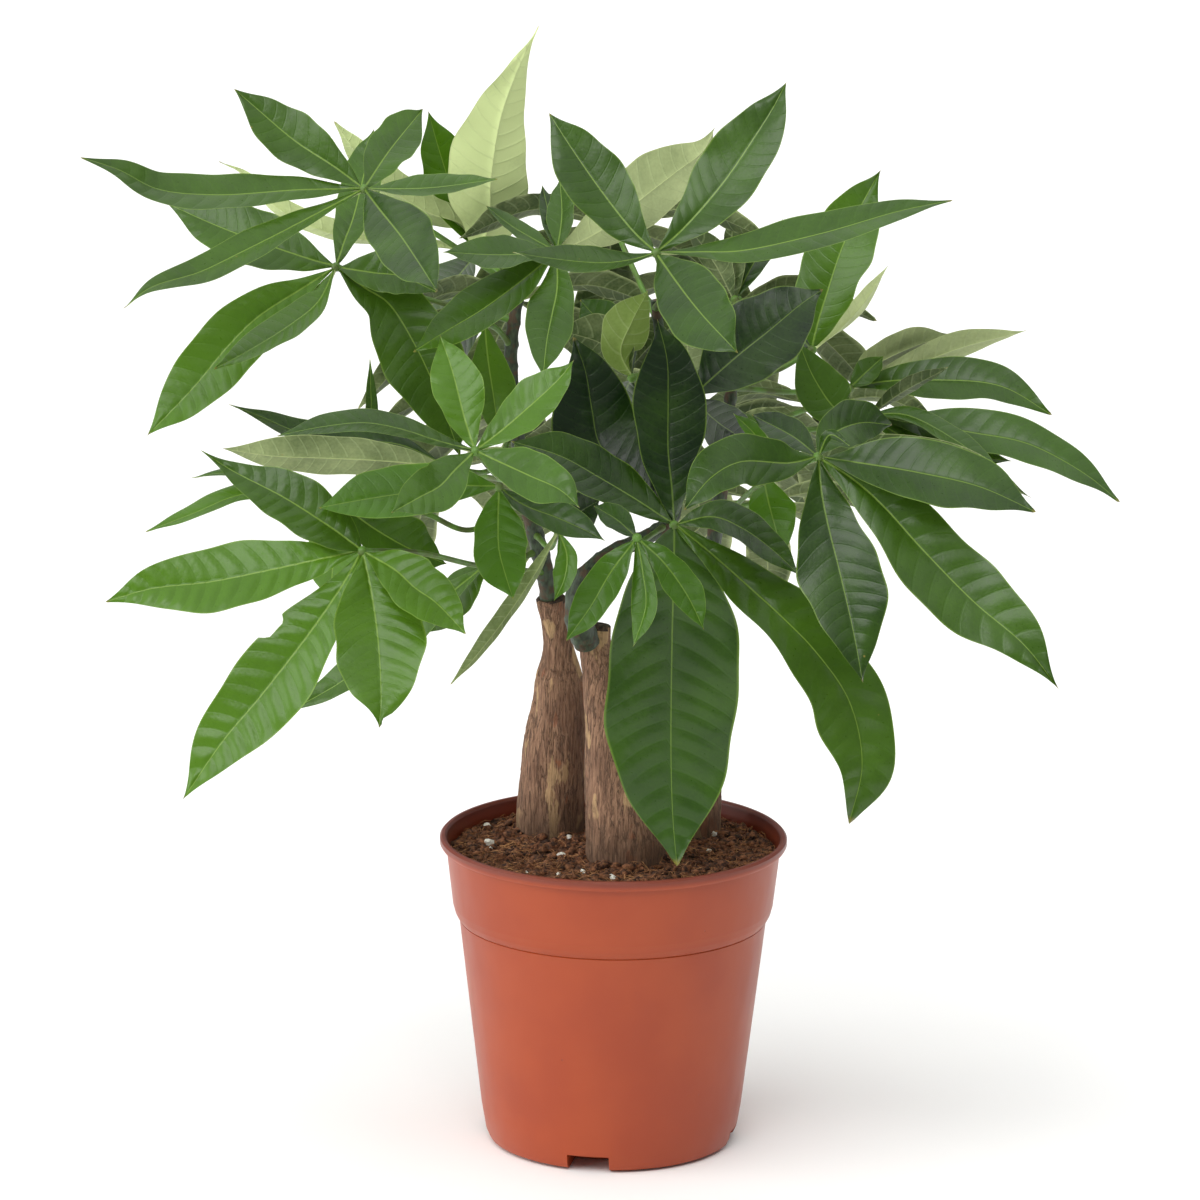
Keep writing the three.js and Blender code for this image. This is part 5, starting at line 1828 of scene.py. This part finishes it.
@dataclass
class PottingSoil:
    """Loose peat with coir fibres and perlite grains, heaped a little round the trunks.

    Args:
        pot: the pot that it fills.
        radius: the radius of its top.
        floor_radius, walls: its radius at the floor, and its radii and heights above.
        room: how far it keeps from the channels.
        rings, steps: how many rings of faces its top has, and how many sides.
        crumbs, fibres, grains: how many there are.
        crumb_sizes, grain_sizes: the least, the greatest and the commonest width.
        crumb_rise, grain_rise: how high a middle lies above the soil, as a share of the width.
        fibre_points: how many points a fibre has.
        fibre_steps, fibre_lifts, fibre_radii: the least and greatest step, height and radius.
        batch: how many lumps are made at a time.
        seed: what the draws start from.
    """

    pot: NurseryPot
    radius: float = 79.9
    floor_radius: float = 56.7
    walls: tuple[Pair, ...] = ((62.5, 18), (73.7, 112.8), (76.8, 119), (79.6, 142))
    room: float = 0.3
    rings: int = 64
    steps: int = 168
    crumbs: int = 2200
    fibres: int = 850
    grains: int = 28
    crumb_sizes: Triple = (1.0, 6.4, 1.9)
    grain_sizes: Triple = (1.8, 5.6, 3.0)
    crumb_rise: float = 0.12
    grain_rise: float = 0.3
    fibre_points: int = 6
    fibre_steps: Pair = (1.0, 4.4)
    fibre_lifts: Pair = (0.2, 2.2)
    fibre_radii: Pair = (0.08, 0.22)
    batch: int = 25
    seed: int = 11

    def __post_init__(self) -> None:
        """Starts the draw that places the loose things."""
        self.draw = random.Random(self.seed)
        self.feet = [(*foot, radius) for foot, _, radius in TRUNKS.values()]

    def height(self, x: float, y: float) -> float:
        """Works out how high the soil lies, which is calmer towards the pot's wall.

        Args:
            x, y: the place.

        Returns:
            The height of its top there.
        """
        swell = 1.1 * math.sin(0.16 * x + 1) * math.cos(0.19 * y) + 0.7 * math.sin(0.31 * (x - y))
        loose = max(0.0, 1 - (math.hypot(x, y) / self.radius) ** 4)
        lumps = 1.5 * noise_at((x, y, 0), (7, 7, 7)) + 0.9 * noise_at((x, y, 9), (2.6, 2.6, 2.6))
        clear = [max(0.0, math.hypot(x - fx, y - fy) - radius) for fx, fy, radius in self.feet]
        heap = sum(math.exp(-gap / 5) for gap in clear)
        return SOIL_TOP + 0.3 + swell * loose + lumps * (0.3 + 0.7 * loose) + 1.6 * heap * loose

    def spot(self) -> Pair:
        """Draws a place on the soil that no trunk stands on.

        Returns:
            The place.
        """
        while True:
            reach = self.radius * math.sqrt(self.draw.random()) * 0.985
            turn = self.draw.uniform(0, 2 * math.pi)
            x, y = reach * math.cos(turn), reach * math.sin(turn)
            if all(math.hypot(x - fx, y - fy) > radius - 0.5 for fx, fy, radius in self.feet):
                return x, y

    def lump(self, bm: BMesh, size: float, subdivisions: int, rise: float) -> None:
        """Adds one rough lump that lies on the soil.

        Args:
            bm: the mesh to add to.
            size: its width.
            subdivisions: how fine its faces are.
            rise: how high its middle lies above the soil, as a share of its size.
        """
        x, y = self.spot()
        place = Vector((x, y, self.height(x, y) + rise * size))
        verts = bmesh.ops.create_icosphere(bm, subdivisions=subdivisions, radius=size / 2)["verts"]
        for vert in verts:
            vert.co *= 1 + self.draw.uniform(-0.28, 0.28)
        shape = Vector([self.draw.uniform(*sizes) for sizes in ((0.8, 1.4), (0.7, 1.1), (0.55, 0.95))])
        bmesh.ops.scale(bm, vec=shape, verts=verts)
        bmesh.ops.rotate(bm, matrix=Matrix.Rotation(self.draw.uniform(0, 6.3), 3, "Z"), verts=verts)
        bmesh.ops.translate(bm, vec=place, verts=verts)

    def heap(self, bm: BMesh, count: int, sizes: Triple, fine: int,
             rise: float) -> None:
        """Adds many lumps, a batch at a time, because an operator's time grows with its mesh.

        Args:
            bm: the mesh to add to.
            count: how many lumps.
            sizes: the least, the greatest and the commonest width.
            fine: how fine a lump's faces are.
            rise: how high its middle lies above the soil, as a share of its size.
        """
        mesh = bpy.data.meshes.new("batch")
        for start in range(0, count, self.batch):
            some = bmesh.new()
            for _ in range(min(self.batch, count - start)):
                self.lump(some, self.draw.triangular(*sizes), fine, rise)
            some.to_mesh(mesh)
            some.free()
            bm.from_mesh(mesh)
        bpy.data.meshes.remove(mesh)

    def build_bed(self) -> None:
        """Makes the soil that fills the pot, with an uneven top and crumbs on it."""
        bm = new_mesh()
        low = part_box("soil")[0].z / MM
        walls = [(0, low), (self.floor_radius, low), *self.walls]
        turns = np.linspace(0, 2 * math.pi, self.steps + 1)
        rows = [[(radius * math.cos(t), radius * math.sin(t), z) for t in turns] for radius, z in walls]
        for share in np.linspace(1, 0, self.rings):
            reach = self.radius * share
            ring = [(reach * math.cos(t), reach * math.sin(t)) for t in turns]
            rows.append([(x, y, self.height(x, y)) for x, y in ring])
        wrap(bm, np.array(rows))
        bed = self.pot.cut_channels(bm, self.room)
        bm = new_mesh()
        bm.from_mesh(bed.data)
        bpy.data.objects.remove(bed)
        self.heap(bm, self.crumbs, self.crumb_sizes, 1, self.crumb_rise)
        finish_piece(bm, "peat_soil", [MATERIALS["peat"]], ("soil",), 180)

    def build_fibres(self) -> None:
        """Makes the coir fibres, which curl over the soil."""
        bm = new_mesh()
        for _ in range(self.fibres):
            x, y = self.spot()
            heading = self.draw.uniform(0, 2 * math.pi)
            curl = self.draw.uniform(-0.5, 0.5)
            step = self.draw.uniform(*self.fibre_steps)
            points = []
            for _ in range(self.fibre_points):
                reach = math.hypot(x, y)
                if reach > self.radius - 0.6:
                    x, y = (value * (self.radius - 0.6) / reach for value in (x, y))
                points.append((x, y, self.height(x, y) + self.draw.uniform(*self.fibre_lifts)))
                x, y = x + step * math.cos(heading), y + step * math.sin(heading)
                heading += curl + self.draw.uniform(-0.4, 0.4)
            radius = self.draw.uniform(*self.fibre_radii)
            add_stem(bm, np.array(points), np.full(self.fibre_points, radius), 3)
        finish_piece(bm, "coir_fibres", [MATERIALS["coir"]])

    def build_grains(self) -> None:
        """Makes the white perlite grains, partly sunk in the soil."""
        bm = new_mesh()
        self.heap(bm, self.grains, self.grain_sizes, 2, self.grain_rise)
        finish_piece(bm, "perlite_grains", [MATERIALS["perlite"]], sharp=30)


@dataclass
class Plant:
    """The trunks, shoots and hand-shaped leaves.

    Args:
        per_side, back_per_side: how many faces lie across half a blade, and across one of the far side.
        step, back_step: how long a blade's faces are, and those of the far side.
        pleats, plain_pleat: how plainly some leaves are pleated, and the rest.
    """

    per_side: int = 8
    step: float = 1.55
    back_per_side: int = 6
    back_step: float = 2.2
    pleats: dict = field(default_factory=lambda: {"s": 1.3, "g": 1.1, "j": 0.8, "b": 0.8, "p": 0.9})
    plain_pleat: float = 0.5

    def build(self) -> None:
        """Makes every piece of the plant."""
        shoots = {stem: Shoot(stem) for stem in Stem}
        for stem, shoot in shoots.items():
            Trunk(stem).build()
            shoot.build()
        for name, plan in FRONDS.items():
            pleat = self.pleats.get(name, self.plain_pleat)
            Frond(name, plan, shoots[plan.stem], TONES_AND_PAINTED_LIGHT[name], pleat).build(self.per_side, self.step)
        for number, plan in BACK_FRONDS.items():
            frond = Frond(f"back_{number}", plan, shoots[plan.stem], BACK_TONE, self.plain_pleat)
            frond.build(self.back_per_side, self.back_step)


@dataclass
class Studio:
    """The camera at the sighted viewpoint, a pale floor, and soft light from above, the front and the left.

    Args:
        sensor: the width of the camera's sensor.
        lights: for each light its name, its power, how wide it looks and the way to it.
        sky: how bright the sky is.
        reach: half the floor's width in metres.
        sunk: how far the floor lies below the pot, in metres.
    """

    sensor: float = 36.0
    lights: tuple = (("soft_key", 1.0, 32, (-0.12, -0.62, 0.78)),
                     ("overhead_softbox", 1.8, 110, (-0.1, 0.0, 1.0)),
                     ("left_softbox", 2.2, 56, (-1.0, -0.36, 0.25)))
    sky: float = 0.34
    reach: float = 12.0
    sunk: float = 0.0004

    def camera(self) -> None:
        """Places the camera where the plant was sighted from."""
        data = bpy.data.cameras.new("camera")
        data.sensor_width = self.sensor
        data.lens = SIGHT.FOCAL / (2 * SIGHT.MIDDLE) * self.sensor
        data.clip_start, data.clip_end = 0.1, 60
        camera = add_object("camera", data)
        turn = Matrix([SIGHT.right, SIGHT.up, -SIGHT.ahead]).transposed().to_4x4()
        camera.matrix_world = Matrix.Translation(Vector(SIGHT.EYE) * MM) @ turn
        bpy.context.scene.camera = camera

    def light(self, name: str, power: float, angle: float, way: Triple) -> None:
        """Hangs a distant soft light.

        Args:
            name: the lamp's name.
            power: its power in watts per square metre.
            angle: how wide it looks from the plant, in degrees.
            way: the way to it from the plant.
        """
        data = bpy.data.lights.new(name, "SUN")
        data.energy, data.angle = power, math.radians(angle)
        lamp = add_object(name, data)
        lamp.matrix_world = Matrix.Translation(way) @ Vector(way).to_track_quat("Z", "Y").to_matrix().to_4x4()

    def floor(self) -> None:
        """Lays the floor, which isn't part of the object."""
        bm = bmesh.new()
        bmesh.ops.create_grid(bm, x_segments=1, y_segments=1, size=self.reach)
        mesh = bpy.data.meshes.new("floor")
        bm.to_mesh(mesh)
        bm.free()
        material = bpy.data.materials.new("pale_floor")
        material.use_nodes = True
        shader = material.node_tree.nodes["Principled BSDF"]
        shader.inputs["Base Color"].default_value = linear("fbfbfa")
        shader.inputs["Roughness"].default_value = 0.9
        mesh.materials.append(material)
        floor = add_object("floor", mesh)
        floor.location.z = -self.sunk

    def build(self) -> None:
        """Sets the whole stage."""
        self.camera()
        self.floor()
        for name, power, angle, way in self.lights:
            self.light(name, power, angle, way)
        world = bpy.data.worlds.new("sky")
        world.use_nodes = True
        background = world.node_tree.nodes["Background"]
        background.inputs["Color"].default_value = (1, 1, 1, 1)
        background.inputs["Strength"].default_value = self.sky
        bpy.context.scene.world = world
        bpy.context.scene.view_settings.view_transform = "Standard"


MATERIALS: dict[str, Material] = {}


def main() -> None:
    """Builds the plant, its pot and the studio."""
    logging.basicConfig(level=logging.INFO, format="%(message)s")
    finishes = {"top": LEAF_TOP, "under": LEAF_UNDER, "stalk": STALK, "shoot": SHOOT_SKIN, "bark": BARK,
                "cut": CUT_WOOD, "plastic": POT_PLASTIC, "peat": PEAT, "coir": COIR, "perlite": PERLITE}
    MATERIALS.update({name: finish.material() for name, finish in finishes.items()})
    Studio().build()
    pot = NurseryPot()
    pot.build()
    soil = PottingSoil(pot)
    soil.build_bed()
    soil.build_fibres()
    soil.build_grains()
    Plant().build()


if __name__ == "__main__":
    main()
